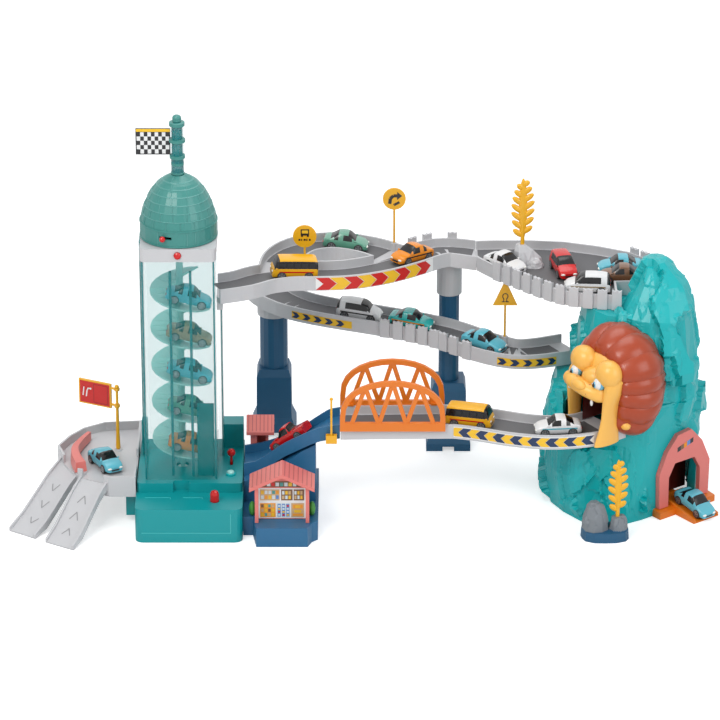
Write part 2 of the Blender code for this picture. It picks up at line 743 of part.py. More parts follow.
def diverter_lever():
    """The curved pink lever that closes one of the two ramps."""
    low = TURN_ROAD_Z + 0.0015 + GAP
    x, y = DIVERTER_PIVOT
    path = smooth_path([(x, y, low), (x - 0.006, y + 0.020, low), (x - 0.008, y + 0.040, low),
                        (x - 0.003, y + 0.060, low), (x + 0.004, y + 0.078, low)], 3)
    rings = []
    for index, point in enumerate(path):
        share = index / (len(path) - 1)
        half = 0.0062 - 0.0040 * share
        height = 0.011 - 0.002 * share
        left = sideways(path, index)
        rings.append([tuple(point + left * half), tuple(point + left * half * 0.8 + Vector((0, 0, height))),
                      tuple(point - left * half * 0.8 + Vector((0, 0, height))), tuple(point - left * half)])
    made = solid("diverter_lever", loft(rings), "pink", (x, y, low), 30)
    return made


def sign_post():
    """The yellow post on the turning deck with its two stop beads."""
    low = TURN_ROAD_Z + 0.0003
    ring_low = SIGN_BOARD_LOW + SIGN_RING_RISE
    ring_high = SIGN_BOARD_HIGH - SIGN_RING_RISE - SIGN_RING_HEIGHT
    stop = ring_high + SIGN_RING_HEIGHT + GAP
    profile = [(0.0016, low), (0.0016, low + 0.002), (0.0024, low + 0.0025), (0.0018, low + 0.020),
               (0.0015, ring_low - 0.0020), (0.0022, ring_low - 0.0015), (0.0022, ring_low - GAP),
               (SIGN_POST_RADIUS, ring_low - GAP), (SIGN_POST_RADIUS, stop), (0.0022, stop),
               (0.0022, stop + 0.002), (0.0012, stop + 0.003)]
    return solid("sign_post", stacked(profile, POST_PLACE, 12), "yellow", smooth_angle=40)


def lane_sign():
    """The board with its two rings, free to swing round the post."""
    x, y = POST_PLACE
    inner = SIGN_POST_RADIUS + GAP
    frame = Matrix.Translation(Vector((x, y, 0))) @ Matrix.Rotation(math.radians(SIGN_TURN), 4, 'Z')
    parts = []
    for height in (SIGN_BOARD_LOW + SIGN_RING_RISE, SIGN_BOARD_HIGH - SIGN_RING_RISE - SIGN_RING_HEIGHT):
        parts.append(turned([(inner, height), (inner + 0.0013, height), (inner + 0.0013, height + SIGN_RING_HEIGHT),
                             (inner, height + SIGN_RING_HEIGHT)], sides=12))
    arms = [box((-SIGN_ARM - 0.001, -0.0009, height + 0.0003),
                (-inner - 0.0006, 0.0009, height + SIGN_RING_HEIGHT - 0.0003))
            for height in (SIGN_BOARD_LOW + SIGN_RING_RISE, SIGN_BOARD_HIGH - SIGN_RING_RISE - SIGN_RING_HEIGHT)]
    board = box((-SIGN_ARM - SIGN_WIDTH, -0.0012, SIGN_BOARD_LOW), (-SIGN_ARM, 0.0012, SIGN_BOARD_HIGH))
    made = solid("lane_sign", placed(board, frame), "red", (x, y, SIGN_BOARD_LOW))
    add(made, placed(merged(arms), frame), "arms")
    add(made, placed(merged(parts), frame), "rings")
    return made


# Columns and lanes

UPPER_START_X = SHELL_WIDTH / 2 + GAP
UPPER_END_X = 0.2982
MIDDLE_START_X = 0.095
LOWER_WIDTH = 0.050
LOWER_START_X = 0.410
LOWER_FALL = -0.012

UPPER_ROUTE = ((0.0300, 0.0085), (0.060, 0.026), (0.082, 0.046), (0.110, 0.060), (0.138, 0.066),
               (0.168, 0.075), (0.199, 0.094), (0.228, 0.120), (0.250, 0.143), (0.271, 0.154),
               (0.308, 0.1495))
LOOP_ROUTE = ((0.098, 0.060), (0.100, 0.085), (0.106, 0.108), (0.120, 0.130), (0.142, 0.144),
              (0.165, 0.147), (0.190, 0.140), (0.210, 0.127), (0.226, 0.117))
MIDDLE_ROUTE = ((0.078, 0.207), (0.092, 0.182), (0.115, 0.162), (0.150, 0.149), (0.203, 0.137),
                (0.245, 0.125), (0.275, 0.111), (0.305, 0.089), (0.335, 0.077), (0.362, 0.084),
                (0.3965, 0.104))
MIDDLE_CASTLE_SPAN = (4, 7)
LOWER_ROUTE = ((0.428, -0.026), (0.412, -0.038), (0.393, -0.0455), (0.365, -0.048), (0.335, -0.041),
               (0.305, -0.0285), (0.280, -0.0205), (0.262, -0.019), (0.215, -0.019), (0.1595, -0.019))
SLOPE_ROUTE = ((STATION_LEFT, 0.000, 0.0480), (0.078, 0.001, 0.0510), (0.098, -0.003, 0.0625),
               (0.120, -0.012, 0.0800), (0.142, -0.018, 0.0950), (0.1590, -0.019, 0.0990))

LEFT_COLUMN_RADIUS = 0.0145
RIGHT_COLUMN_RADIUS = 0.0105
LEFT_SOCKET_DROP = 0.018
RIGHT_SOCKET_DROP = 0.040


def upper_z(x):
    """The upper road's height at one X."""
    return UPPER_START_Z - UPPER_FALL * (x - UPPER_START_X)


def middle_z(x):
    """The middle road's height at one X."""
    return MIDDLE_START_Z - MIDDLE_FALL * (x - MIDDLE_START_X)


def lower_z(x):
    """The lower road's height at one X."""
    return LOWER_START_Z - LOWER_FALL * (x - LOWER_START_X)


def road_path(route, height, per_span=3):
    """A lane's smooth centre line at its road's height."""
    return smooth_path([(x, y, height(x)) for x, y in route], per_span)


def column(name, place, radius, top):
    """A blue column: a square foot, a narrower waist and a round upper part."""
    x, y = place
    foot = COLUMN_FOOT / 2 * math.sqrt(2)
    waist = COLUMN_WAIST / 2 * math.sqrt(2)
    shape = stacked([(foot, 0.0), (foot, 0.008), (waist * 1.02, 0.020), (waist, 0.066), (waist * 0.86, 0.074)],
                    place, 4, math.pi / 4)
    made = solid(name, shape, "navy", smooth_angle=30)
    add(made, stacked([(radius, 0.070), (radius, top)], place, 16), "shaft")
    cut(made, box((x - 0.006, y - foot, -0.001), (x + 0.006, y + foot, 0.005)), "foot_notch")
    return made


def socket(target, place, radius, road, drop, label):
    """A socket under a lane that takes a column's top."""
    outer = radius + GAP + 0.0022
    low = road - ROAD_THICK - drop
    add(target, stacked([(outer, low), (outer, road - ROAD_THICK * 0.4)], place, 20), label)
    cut(target, stacked([(radius + GAP, low - 0.001), (radius + GAP, road - ROAD_THICK)], place, 20),
        label + "_bore")
    return target


def upper_lane():
    """The upper lane from the lift to the castle deck, with its loop."""
    main = road_path(UPPER_ROUTE, upper_z)
    loop = road_path(LOOP_ROUTE, upper_z)
    made = solid("upper_lane", swept(main, block_section()), "light_grey", smooth_angle=30)
    add(made, swept(loop, block_section()), "loop")
    for label, x0, x1 in (("lift_end", 0.0, UPPER_START_X), ("deck_end", UPPER_END_X, UPPER_END_X + 0.04)):
        cut(made, box((x0, -0.05, UPPER_START_Z - 0.05), (x1, 0.20, UPPER_START_Z + 0.03)), label)
    socket(made, RIGHT_COLUMN, RIGHT_COLUMN_RADIUS, upper_z(RIGHT_COLUMN[0]), RIGHT_SOCKET_DROP, "socket")
    cut(made, swept(stretched(main), channel_section()), "main_road")
    cut(made, swept(loop, channel_section()), "loop_road")
    lug_x = UPPER_START_X + 0.004
    add(made, box((UPPER_START_X + 0.0002, 0.012 - 0.016, upper_z(lug_x) - 0.014),
                  (UPPER_START_X + 0.006, 0.012 + 0.016, upper_z(lug_x) - SKIRT * 0.5)), "lug")
    for label, place in (("sign_a", SIGN_A_PLACE), ("sign_b", SIGN_B_PLACE)):
        top = upper_z(place[0]) + WALL_HEIGHT
        add(made, stacked([(0.0040, top - 0.012), (0.0034, top)], place, 10), label)
        cut(made, stacked([(SIGN_PIN + GAP, top - 0.004), (SIGN_PIN + GAP, top + 0.004)], place, 8),
            label + "_hole")
    castle = [point for point in main if 0.242 < point.x < UPPER_END_X - TOOTH_WIDTH / 2]
    add(made, merged(teeth_along(castle, 1, -SKIRT + 0.0003, TOOTH_HEIGHT)), "teeth")
    return made


def stretched(path, extra=0.003):
    """A path with both ends drawn out a little."""
    first = (path[0] - path[1]).normalized() * extra
    last = (path[-1] - path[-2]).normalized() * extra
    return [path[0] + first] + list(path[1:-1]) + [path[-1] + last]


SIGN_PIN = 0.0011
TREE_HOLE_RADIUS = 0.0024
SIGN_A_PLACE = (0.1230, 0.0985)
SIGN_B_PLACE = (0.2140, 0.1500)
TRIANGLE_PLACE = (0.3270, 0.1005)


def middle_lane():
    """The middle lane from the left column to the mountain's portal."""
    path = road_path(MIDDLE_ROUTE, middle_z)
    made = solid("middle_lane", swept(path, lane_section()), "light_grey", smooth_angle=30)
    start = path[0]
    run = (path[1] - path[0]).normalized()
    left = sideways(path, 0)
    end_wall = []
    for depth in (-LANE_WALL, 0.0002):
        end_wall.append([tuple(start + run * depth + left * side * 1.01 + Vector((0, 0, height - 0.0003)))
                         for side, height in block_section()])
    add(made, loft(end_wall), "end_wall")
    socket(made, LEFT_COLUMN, LEFT_COLUMN_RADIUS, middle_z(LEFT_COLUMN[0]), LEFT_SOCKET_DROP, "socket")
    low, high = MIDDLE_CASTLE_SPAN
    castle = path[low * 3:high * 3 + 1]
    bottom = -SKIRT + 0.0003
    add(made, merged(teeth_along(castle, -1, bottom, TOOTH_HEIGHT * 0.95)), "teeth")
    place = TRIANGLE_PLACE
    top = middle_z(place[0]) + WALL_HEIGHT
    add(made, stacked([(0.0040, top - 0.010), (0.0034, top + 0.001)], place, 10), "sign_boss")
    cut(made, stacked([(SIGN_PIN + GAP, top - 0.003), (SIGN_PIN + GAP, top + 0.002)], place, 8), "sign_hole")
    return made


def lower_lane():
    """The lower lane from the lion's mouth across the bridge."""
    path = road_path(LOWER_ROUTE, lower_z)
    made = solid("lower_lane", swept(path, lane_section(LOWER_WIDTH)), "light_grey", smooth_angle=30)
    return made


# Castle deck

DECK_FRONT = ((0.2985, 0.1275), (0.314, 0.106), (0.328, 0.092), (0.340, 0.078), (0.352, 0.065),
              (0.364, 0.053), (0.376, 0.042), (0.390, 0.034), (0.405, 0.030), (0.420, 0.027),
              (0.4370, 0.0245))
DECK_REST = ((0.4370, 0.0620), (0.4760, 0.0640), (0.4760, 0.120), (0.455, 0.142), (0.424, 0.158),
             (0.390, 0.170), (0.355, 0.174), (0.320, 0.174), (0.2985, 0.1725))
ISLAND = (0.352, 0.129)
ISLAND_RADIUS = 0.0125
TREE_PLACE = (0.3445, 0.129)


def castle_deck():
    """The castle deck with its toothed front wall and its rock island."""
    road = DECK_ROAD_Z
    outline = list(DECK_FRONT) + list(DECK_REST)
    made = solid("castle_deck", prism(outline, road - SKIRT, road + WALL_HEIGHT), "light_grey",
                 smooth_angle=30)
    inner = inset_outline(outline, LANE_WALL)
    cut(made, prism(inner, road, road + WALL_HEIGHT + 0.001), "road")
    gate_low = DECK_FRONT[0][1] + LANE_WALL + 0.0005
    gate_high = DECK_REST[-1][1] - LANE_WALL - 0.0005
    cut(made, box((0.2975, gate_low, road), (0.2985 + LANE_WALL * 2, gate_high, road + WALL_HEIGHT + 0.001)),
        "gate")
    path = [Vector((x, y, road)) for x, y in DECK_FRONT[1:]]
    add(made, merged(teeth_along(path, -1, -SKIRT + 0.0002, TOOTH_HEIGHT, 0.0)), "teeth")
    back = [Vector((x, y, road)) for x, y in DECK_REST[1:4]]
    add(made, merged(teeth_along(back, -1, -SKIRT + 0.0002, TOOTH_HEIGHT, 0.0)), "back_teeth")
    island = []
    for level, (height, share) in enumerate(((-0.001, 1.0), (0.008, 0.92), (0.016, 0.66), (0.023, 0.34))):
        ring = []
        for i in range(9):
            angle = 2 * math.pi * i / 9
            bump = 1.0 + 0.16 * math.sin(3 * angle + level * 1.3)
            reach = ISLAND_RADIUS * share * bump
            ring.append((ISLAND[0] + reach * 1.15 * math.cos(angle) - 0.003 * level,
                         ISLAND[1] + reach * 0.8 * math.sin(angle), road + height))
        island.append(ring)
    add(made, loft(island), "island")
    cut(made, stacked([(TREE_HOLE_RADIUS, road + 0.0122), (TREE_HOLE_RADIUS, road + 0.030)], TREE_PLACE, 8),
        "tree_hole")
    return made


# Station and bridge

HOUSE_MIDDLE = 0.1015
HOUSE_HALF = 0.0325
HOUSE_FRONT = -0.088
HOUSE_BACK = -0.052
HOUSE_FLOOR = 0.0205
HOUSE_EAVE = 0.0594
HOUSE_RIDGE = 0.0746


def station():
    """The blue station: its platform, its slope and the body that carries the slope."""
    plate = [(STATION_LEFT, STATION_FRONT + 0.020), (0.072, STATION_FRONT + 0.020), (0.076, STATION_FRONT - 0.007),
             (0.127, STATION_FRONT - 0.007), (0.131, STATION_FRONT + 0.004), (STATION_RIGHT, STATION_FRONT + 0.010),
             (STATION_RIGHT, 0.045), (STATION_LEFT, 0.045)]
    made = solid("station", prism(plate, 0.0, HOUSE_FLOOR), "navy", smooth_angle=30)
    cut(made, prism(inset_outline(plate, WALL * 1.2), -0.001, HOUSE_FLOOR - WALL * 1.3), "underside")
    half = LANE_WIDTH / 2
    side = [(STATION_LEFT, HOUSE_FLOOR - 0.001), (0.1345, HOUSE_FLOOR - 0.001), (0.1345, 0.0830),
            (0.120, 0.0750), (0.098, 0.0575), (0.078, 0.0460), (STATION_LEFT, 0.0430)]
    body = loft([[(x, -half - 0.012, z) for x, z in side], [(x, half - 0.006, z) for x, z in side]])
    add(made, body, "body")
    path = stretched(smooth_path(SLOPE_ROUTE, 3), 0.004)
    add(made, swept(path, block_section()), "slope")
    cut(made, box((0.040, -0.060, 0.030), (STATION_LEFT, 0.060, 0.075)), "base_end")
    cut(made, box((SLOPE_ROUTE[-1][0], -0.060, 0.080), (0.180, 0.030, 0.130)), "bridge_end")
    cut(made, swept(stretched(path), channel_section(over=0.012)), "slope_road")
    ledge = box((STATION_LEFT + 0.0003, 0.0155, HOUSE_FLOOR - 0.001), (0.098, 0.0446, 0.0440))
    add(made, ledge, "booth_ledge")
    return made


def gable(x0, x1, y0, y1, eave, ridge, thick, along_x=False):
    """A roof of two slopes with its ridge along Y, or along X."""
    middle = (x0 + x1) / 2 if not along_x else (y0 + y1) / 2
    low, high = (x0, x1) if not along_x else (y0, y1)
    profile = [(low, eave), (middle, ridge), (high, eave), (high, eave - thick), (middle, ridge - thick),
               (low, eave - thick)]
    if along_x:
        return loft([[(x0, s, z) for s, z in profile], [(x1, s, z) for s, z in profile]])
    return loft([[(s, y0, z) for s, z in profile], [(s, y1, z) for s, z in profile]])


def shop_house():
    """The open pink house: its roof, two front posts and its back panel."""
    x0 = HOUSE_MIDDLE - HOUSE_HALF
    x1 = HOUSE_MIDDLE + HOUSE_HALF
    floor = HOUSE_FLOOR + GAP
    made = solid("shop_house", gable(x0, x1, HOUSE_FRONT, HOUSE_BACK, HOUSE_EAVE, HOUSE_RIDGE, 0.0035), "pink")
    posts = []
    for x in (x0 + 0.0055, x1 - 0.0090):
        posts.append(box((x, HOUSE_FRONT + 0.003, floor), (x + 0.0035, HOUSE_FRONT + 0.0065, HOUSE_EAVE + 0.0014)))
    add(made, merged(posts), "posts")
    wall = [(x0 + 0.0055, floor), (x1 - 0.0055, floor), (x1 - 0.0055, HOUSE_EAVE - 0.0005),
            (HOUSE_MIDDLE, HOUSE_RIDGE - 0.0026), (x0 + 0.0055, HOUSE_EAVE - 0.0005)]
    back = loft([[(x, HOUSE_FRONT + 0.013, z) for x, z in wall], [(x, HOUSE_FRONT + 0.0155, z) for x, z in wall]])
    add(made, back, "back")
    return made


def booth():
    """The small pink booth beside the slope."""
    floor = 0.0440 + GAP
    made = solid("booth", box((0.068, 0.0245, floor), (0.086, 0.0415, 0.074)), "pink")
    add(made, gable(0.0640, 0.0920, 0.0200, 0.0460, 0.0720, 0.0860, 0.0032, along_x=True), "roof")
    cut(made, box((0.0745, 0.0235, floor + 0.002), (0.0835, 0.0390, 0.0680)), "window")
    return made


def truss(name, plane_y, outward):
    """One arched truss whose hooks sit on the lane's wall."""
    wall_top = lower_z(BRIDGE_LEFT) + WALL_HEIGHT
    low = wall_top - 0.004
    chord = low + 0.009
    half = BRIDGE_LENGTH / 2
    middle = BRIDGE_LEFT + half
    near = plane_y
    far = plane_y + outward * TRUSS_THICK

    def panel(outline):
        return loft([[(x, near, z) for x, z in outline], [(x, far, z) for x, z in outline]])

    def arch(reach, rise, base, steps=14):
        made = []
        for step in range(steps + 1):
            angle = math.pi * step / steps
            made.append((middle + reach * math.cos(angle), base + rise * math.sin(angle) ** 0.8))
        return made

    outline = arch(half, TRUSS_RISE - 0.014, low + 0.014) + [(middle - half, low), (middle + half, low)]
    made = solid(name, panel(outline), "orange", smooth_angle=30)
    opening = arch(half - TRUSS_BAR, TRUSS_RISE - 0.014 - TRUSS_BAR, low + 0.014)
    opening = [(x, max(z, chord)) for x, z in opening] + [(middle - half + TRUSS_BAR, chord),
                                                         (middle + half - TRUSS_BAR, chord)]
    opening = [point for i, point in enumerate(opening) if point != opening[i - 1]]
    hole = loft([[(x, near - outward * 0.001, z) for x, z in opening],
                 [(x, far + outward * 0.001, z) for x, z in opening]])
    cut(made, hole, "opening")
    bars = []
    lows = [middle + half * share for share in (-0.78, -0.26, 0.26, 0.78)]
    tops = [middle + half * share for share in (-0.52, 0.0, 0.52)]
    width = 0.0021
    for i, top in enumerate(tops):
        rise = low + 0.014 + (TRUSS_RISE - 0.014) * math.sin(math.acos((top - middle) / half)) ** 0.8 - 0.002
        for foot in (lows[i], lows[i + 1]):
            run = Vector((top - foot, rise - chord)).normalized()
            side = Vector((run.y, -run.x)) * width
            bar = [(foot - side.x, chord - 0.002 - side.y), (foot + side.x, chord - 0.002 + side.y),
                   (top + side.x, rise + side.y), (top - side.x, rise - side.y)]
            shift = outward * 0.0004 * (1 + (foot == lows[i]))
            bars.append(loft([[(x, near + shift, z) for x, z in bar], [(x, far - shift, z) for x, z in bar]]))
    for index, bar in enumerate(bars):
        add(made, bar, "bar_%d" % index)
    hooks = []
    for share in (-0.8, 0.8):
        x = middle + half * share
        rest = lower_z(x + 0.003) + WALL_HEIGHT + GAP
        hooks.append(box((x - 0.003, min(near - outward * 0.0035, near + outward * 0.0004), rest),
                         (x + 0.003, max(near - outward * 0.0035, near + outward * 0.0004), rest + 0.0018)))
    add(made, merged(hooks), "hooks")
    return made


def barrier_box():
    """The yellow box of the barrier, on the slope's outer wall."""
    y = SLOPE_ROUTE[-1][1] - LANE_WIDTH / 2 - GAP
    made = solid("barrier_box", box((BARRIER_X - 0.0055, y - 0.0060, 0.0900), (BARRIER_X + 0.0055, y, 0.0985)),
                 "yellow")
    cut(made, box((BARRIER_X - 0.0070, y - 0.0045, 0.0930), (BARRIER_X + 0.0022, y - 0.0015, 0.0995)), "slot")
    return made


def barrier_arm():
    """The barrier's arm, shown raised."""
    y = SLOPE_ROUTE[-1][1] - LANE_WIDTH / 2 - GAP - 0.003
    low = 0.0945
    made = solid("barrier_arm", box((BARRIER_X - 0.0010, y - 0.0010, low), (BARRIER_X + 0.0010, y + 0.0010, 0.1370)),
                 "yellow", (BARRIER_X, y, low + 0.001))
    add(made, ball((BARRIER_X, y, 0.1375), (0.0018, 0.0014, 0.0018), 8, 5), "tip")
    return made


# Mountain and what stands on it

SHOULDER_Z = DECK_ROAD_Z - SKIRT - GAP
PORTAL_LEDGE_Z = 0.1188
MOUNTAIN_LEVELS = ((0.0, 0.366, 0.528, -0.047, 0.140), (0.045, 0.362, 0.526, -0.044, 0.138),
                   (0.080, 0.366, 0.524, -0.040, 0.136), (0.092, 0.367, 0.523, -0.038, 0.135),
                   (PORTAL_LEDGE_Z, 0.372, 0.522, -0.030, 0.134),
                   (PORTAL_LEDGE_Z + 0.0025, 0.396, 0.522, -0.026, 0.134),
                   (0.165, 0.399, 0.520, -0.012, 0.130), (SHOULDER_Z, 0.402, 0.514, 0.002, 0.126))
PEAK_LEVELS = ((0.150, 0.434, 0.519, -0.026, 0.0600), (0.205, 0.4400, 0.512, -0.012, 0.0605),
               (0.232, 0.4560, 0.500, 0.006, 0.0540), (0.250, 0.4640, 0.482, 0.020, 0.0440))
GATE_MIDDLE = (0.5030, -0.0030)
GATE_RIGHT = (0.787, 0.617)
GATE_WIDTH = 0.066
GATE_HEIGHT = 0.086
GATE_THICK = 0.0055
MOUTH_PLACE = (0.4130, -0.0340, 0.1020)
LION_PLACE = (0.4206, -0.0312, 0.1480)


def rock_ring(level, count, spread, shift, roughness=0.10):
    """One level of a faceted rock between its left, right, front and back."""
    height, left, right, front, back = level
    middle = ((left + right) / 2, (front + back) / 2)
    half = ((right - left) / 2, (back - front) / 2)
    made = []
    for i in range(count):
        angle = 2 * math.pi * (i + 0.5) / count
        c = math.cos(angle)
        s = math.sin(angle)
        reach = 1.0 / (abs(c) ** spread + abs(s) ** spread) ** (1 / spread)
        reach *= 1.0 - roughness * (0.5 + 0.5 * math.sin(2.3 * i + shift) * math.cos(1.1 * i * i))
        made.append((middle[0] + half[0] * reach * c, middle[1] + half[1] * reach * s, height))
    return made


def gate_frame():
    """The matrix that stands a shape in the gate's plane, facing out along -Y."""
    right = Vector((*GATE_RIGHT, 0)).normalized()
    back = Vector((-right.y, right.x, 0))
    turn = Matrix((right, back, Vector((0, 0, 1)))).transposed().to_4x4()
    return Matrix.Translation(Vector((*GATE_MIDDLE, 0))) @ turn


def behind_gate(ring, margin):
    """Keep the lower levels' points behind the gate's plane by a margin."""
    frame = gate_frame()
    back = frame.inverted()
    if ring[0][2] > GATE_HEIGHT + 0.010:
        return ring
    made = []
    for point in ring:
        local = back @ Vector(point)
        local.y = max(local.y, margin)
        made.append(tuple(frame @ local))
    return made


def mountain():
    """The rock shell: open below, with a portal, a mouth hole and a gate."""
    body = [behind_gate(rock_ring(level, MOUNTAIN_FACETS, 3.0, index * 1.7), 0.0)
            for index, level in enumerate(MOUNTAIN_LEVELS)]
    made = solid("mountain", loft(body), "teal", smooth_angle=12)
    peak = [rock_ring(level, 12, 2.6, index * 2.1, 0.08) for index, level in enumerate(PEAK_LEVELS)]
    add(made, loft(peak), "peak")
    cut(made, placed(loft(mane_rings(GAP * 2)), lion_axes()), "mane_seat")
    wall = MOUNTAIN_WALL
    inner = []
    for index, (height, left, right, front, back) in enumerate(MOUNTAIN_LEVELS):
        low = -0.001 if index == 0 else height - wall
        deep = wall * 2.2
        level = (low, left + deep, right - deep, front + deep, back - deep)
        inner.append(behind_gate(rock_ring(level, MOUNTAIN_FACETS, 3.0, index * 1.7), wall))
    cut(made, loft(inner), "inside")
    cut(made, placed(box((-0.021, -0.001, -0.001), (0.021, 0.030, GATE_HEIGHT - 0.030)), gate_frame()),
        "gate_hole")
    portal_y = MIDDLE_ROUTE[-1][1]
    base = PORTAL_LEDGE_Z + 0.0026
    outline = [(portal_y - 0.0255, base), (portal_y + 0.021, base)]
    for step in range(7):
        angle = math.pi * step / 6
        outline.append((portal_y - 0.00225 + 0.02325 * math.cos(angle), base + 0.024 + 0.020 * math.sin(angle)))
    portal = loft([[(0.390, y, z) for y, z in outline], [(0.425, y, z) for y, z in outline]])
    cut(made, portal, "portal")
    x, y, z = MOUTH_PLACE
    cut(made, box((x - 0.030, y - 0.040, z - SKIRT - GAP), (x + 0.0463, y + 0.050, z + 0.040)), "mouth_hole")
    return made


def lion_axes():
    """The lion's frame: its face looks along -Y of the frame, out of the rock."""
    back = Vector((0.79, 0.61, 0)).normalized()
    right = Vector((back.y, -back.x, 0))
    turn = Matrix((right, back, Vector((0, 0, 1)))).transposed().to_4x4()
    return Matrix.Translation(Vector(LION_PLACE)) @ turn


def mane_rings(grow):
    """The mane's rings from front to back, swollen by its lobes."""
    lobes = 9
    rings = []
    for depth, size in ((-0.002 - grow, 0.60), (0.004, 0.86), (0.016, 1.0), (0.032, 0.98), (0.047, 0.80),
                        (0.055 + grow, 0.55)):
        ring = []
        for i in range(36):
            angle = 2 * math.pi * i / 36
            swell = size * (0.97 + 0.06 * abs(math.sin(lobes * angle / 2)))
            ring.append(((0.047 * swell + grow) * math.cos(angle), depth,
                         0.007 + (0.050 * swell + grow) * math.sin(angle)))
        rings.append(ring)
    return rings


def lion_mane():
    """The mane: a swollen collar of lobes behind the face."""
    made = solid("lion_mane", placed(loft(mane_rings(0.0)), lion_axes()), "mane", smooth_angle=60)
    path = road_path(LOWER_ROUTE, lower_z)[:14]
    half = LOWER_WIDTH / 2 + GAP
    lane_space = [(half, -SKIRT - GAP), (half, WALL_HEIGHT + GAP), (-half, WALL_HEIGHT + GAP), (-half, -SKIRT - GAP)]
    cut(made, swept(stretched(path, 0.020), lane_space), "lane_space")
    cut(made, placed(box((-0.0215, -0.010, -0.0485), (0.0215, 0.0600, 0.0000)), lion_axes()), "throat")
    return made


def lion_face():
    """The lion's plain face with its open jaws, over the lane's end."""
    made = solid("lion_face", placed(ball((0.0, -0.0165, 0.0150), (0.0310, 0.0140, 0.0230), 16, 9),
                                     lion_axes()), "face", smooth_angle=60)
    for label, x in (("brow_left", -0.0145), ("brow_right", 0.0145)):
        add(made, placed(ball((x, -0.0195, 0.0260), (0.0150, 0.0130, 0.0140), 12, 7), lion_axes()), label)
    add(made, placed(ball((0.0, -0.0280, 0.0060), (0.0200, 0.0110, 0.0090), 12, 7), lion_axes()), "muzzle")
    for label, x0, x1 in (("cheek_left", -0.0340, -0.0275), ("cheek_right", 0.0275, 0.0340)):
        add(made, placed(box((x0, -0.0155, -0.0500), (x1, -0.0060, 0.0150)), lion_axes()), label)
    cut(made, placed(box((-0.050, -0.002 - GAP, -0.060), (0.050, 0.040, 0.070)), lion_axes()), "flat_back")
    return made


def gate_arch():
    """The pink rock arch in front of the gate."""
    half = GATE_WIDTH / 2
    outline = [(-half, 0.0085), (-half + 0.012, 0.0085), (-half + 0.012, 0.040), (-0.013, 0.054), (0.013, 0.054),
               (half - 0.012, 0.040), (half - 0.012, 0.0085), (half, 0.0085), (half + 0.001, 0.046),
               (half - 0.010, 0.070), (0.008, GATE_HEIGHT), (-0.010, GATE_HEIGHT - 0.002), (-half + 0.009, 0.068),
               (-half - 0.001, 0.045)]
    shape = loft([[(x, -GAP, z) for x, z in outline], [(x, -GAP - GATE_THICK, z) for x, z in outline]])
    return solid("gate_arch", placed(shape, gate_frame()), "pink", smooth_angle=30)


def gate_ramp():
    """The orange sill and its tongue, down which a car leaves the mountain."""
    half = GATE_WIDTH / 2
    top = 0.0085 - GAP
    sill = [[(-half - 0.004, -GAP, 0), (half + 0.004, -GAP, 0), (half + 0.004, -GAP, top), (-half - 0.004, -GAP, top)],
            [(-half - 0.004, -0.012, 0), (half + 0.004, -0.012, 0), (half + 0.004, -0.012, top * 0.85),
             (-half - 0.004, -0.012, top * 0.85)]]
    made = solid("gate_ramp", placed(loft(sill), gate_frame()), "orange", smooth_angle=30)
    tongue = [[(-0.0165, 0.0140, 0.0030), (0.0165, 0.0140, 0.0030), (0.0165, 0.0140, 0.0115),
               (-0.0165, 0.0140, 0.0115)],
              [(-0.0165, -0.0020, 0.0005), (0.0165, -0.0020, 0.0005), (0.0165, -0.0020, 0.0090),
               (-0.0165, -0.0020, 0.0090)],
              [(-0.0165, -0.0400, 0.0), (0.0165, -0.0400, 0.0), (0.0165, -0.0400, 0.0016), (-0.0165, -0.0400, 0.0016)]]
    add(made, placed(loft(tongue), gate_frame()), "tongue")
    rails = []
    for x0, x1 in ((-0.0165, -0.0140), (0.0140, 0.0165)):
        rails.append(loft([[(x0, -0.0020, 0.0080), (x1, -0.0020, 0.0080), (x1, -0.0020, 0.0115), (x0, -0.0020, 0.0115)],
                           [(x0, -0.0398, 0.0008), (x1, -0.0398, 0.0008), (x1, -0.0398, 0.0040),
                            (x0, -0.0398, 0.0040)]]))
    add(made, placed(merged(rails), gate_frame()), "rails")
    return made


ROCK_MIDDLE = (0.4240, -0.0740)
SMALL_TREE_PLACE = (0.4355, -0.0740)


def shore_rock():
    """The small rock with its base and the hole for its tree."""
    x, y = ROCK_MIDDLE
    base = [rock_ring((z, x - 0.026 * s, x + 0.0255 * s, y - 0.0165 * s, y + 0.0165 * s), 14, 2.4, 1.0, 0.10)
            for z, s in ((0.0, 1.0), (0.010, 0.97))]
    made = solid("shore_rock", loft(base), "light_grey", smooth_angle=30)
    hump = [rock_ring((z, x - 0.012 - 0.0130 * s, x - 0.011 + 0.0155 * s, y - 0.013 * s, y + 0.014 * s), 9, 2.2,
                      z * 90, 0.12) for z, s in ((0.009, 1.0), (0.024, 0.86), (0.034, 0.60), (0.038, 0.30))]
    add(made, loft(hump), "hump")
    px, py = SMALL_TREE_PLACE
    add(made, stacked([(0.0105, 0.009), (0.0062, 0.022)], (px + 0.001, py), 9), "tree_socket")
    cut(made, stacked([(TREE_HOLE_RADIUS, 0.0127), (TREE_HOLE_RADIUS, 0.024)], (px, py), 8), "tree_hole")
    return made


def leaf_outline(height, half, lobes):
    """A flame-shaped leaf with hooked lobes on both sides, from its stem up."""
    right = [(0.0016, 0.0), (0.0016, height * 0.16)]
    left = []
    for i in range(lobes):
        share = i / lobes
        reach = half * (0.62 + 0.38 * math.sin(math.pi * min(share * 1.35 + 0.15, 1.0)))
        reach *= 1.0 - 0.55 * max(share - 0.45, 0) / 0.55
        rise = height * (0.18 + 0.74 * share)
        right.append((reach, rise + height * 0.085))
        right.append((reach * 0.52, rise + height * 0.075))
    right.append((0.0022, height))
    for x, z in right:
        left.append((-x * 0.96, z if z in (0.0, height) else z + height * 0.010))
    return right + left[::-1]


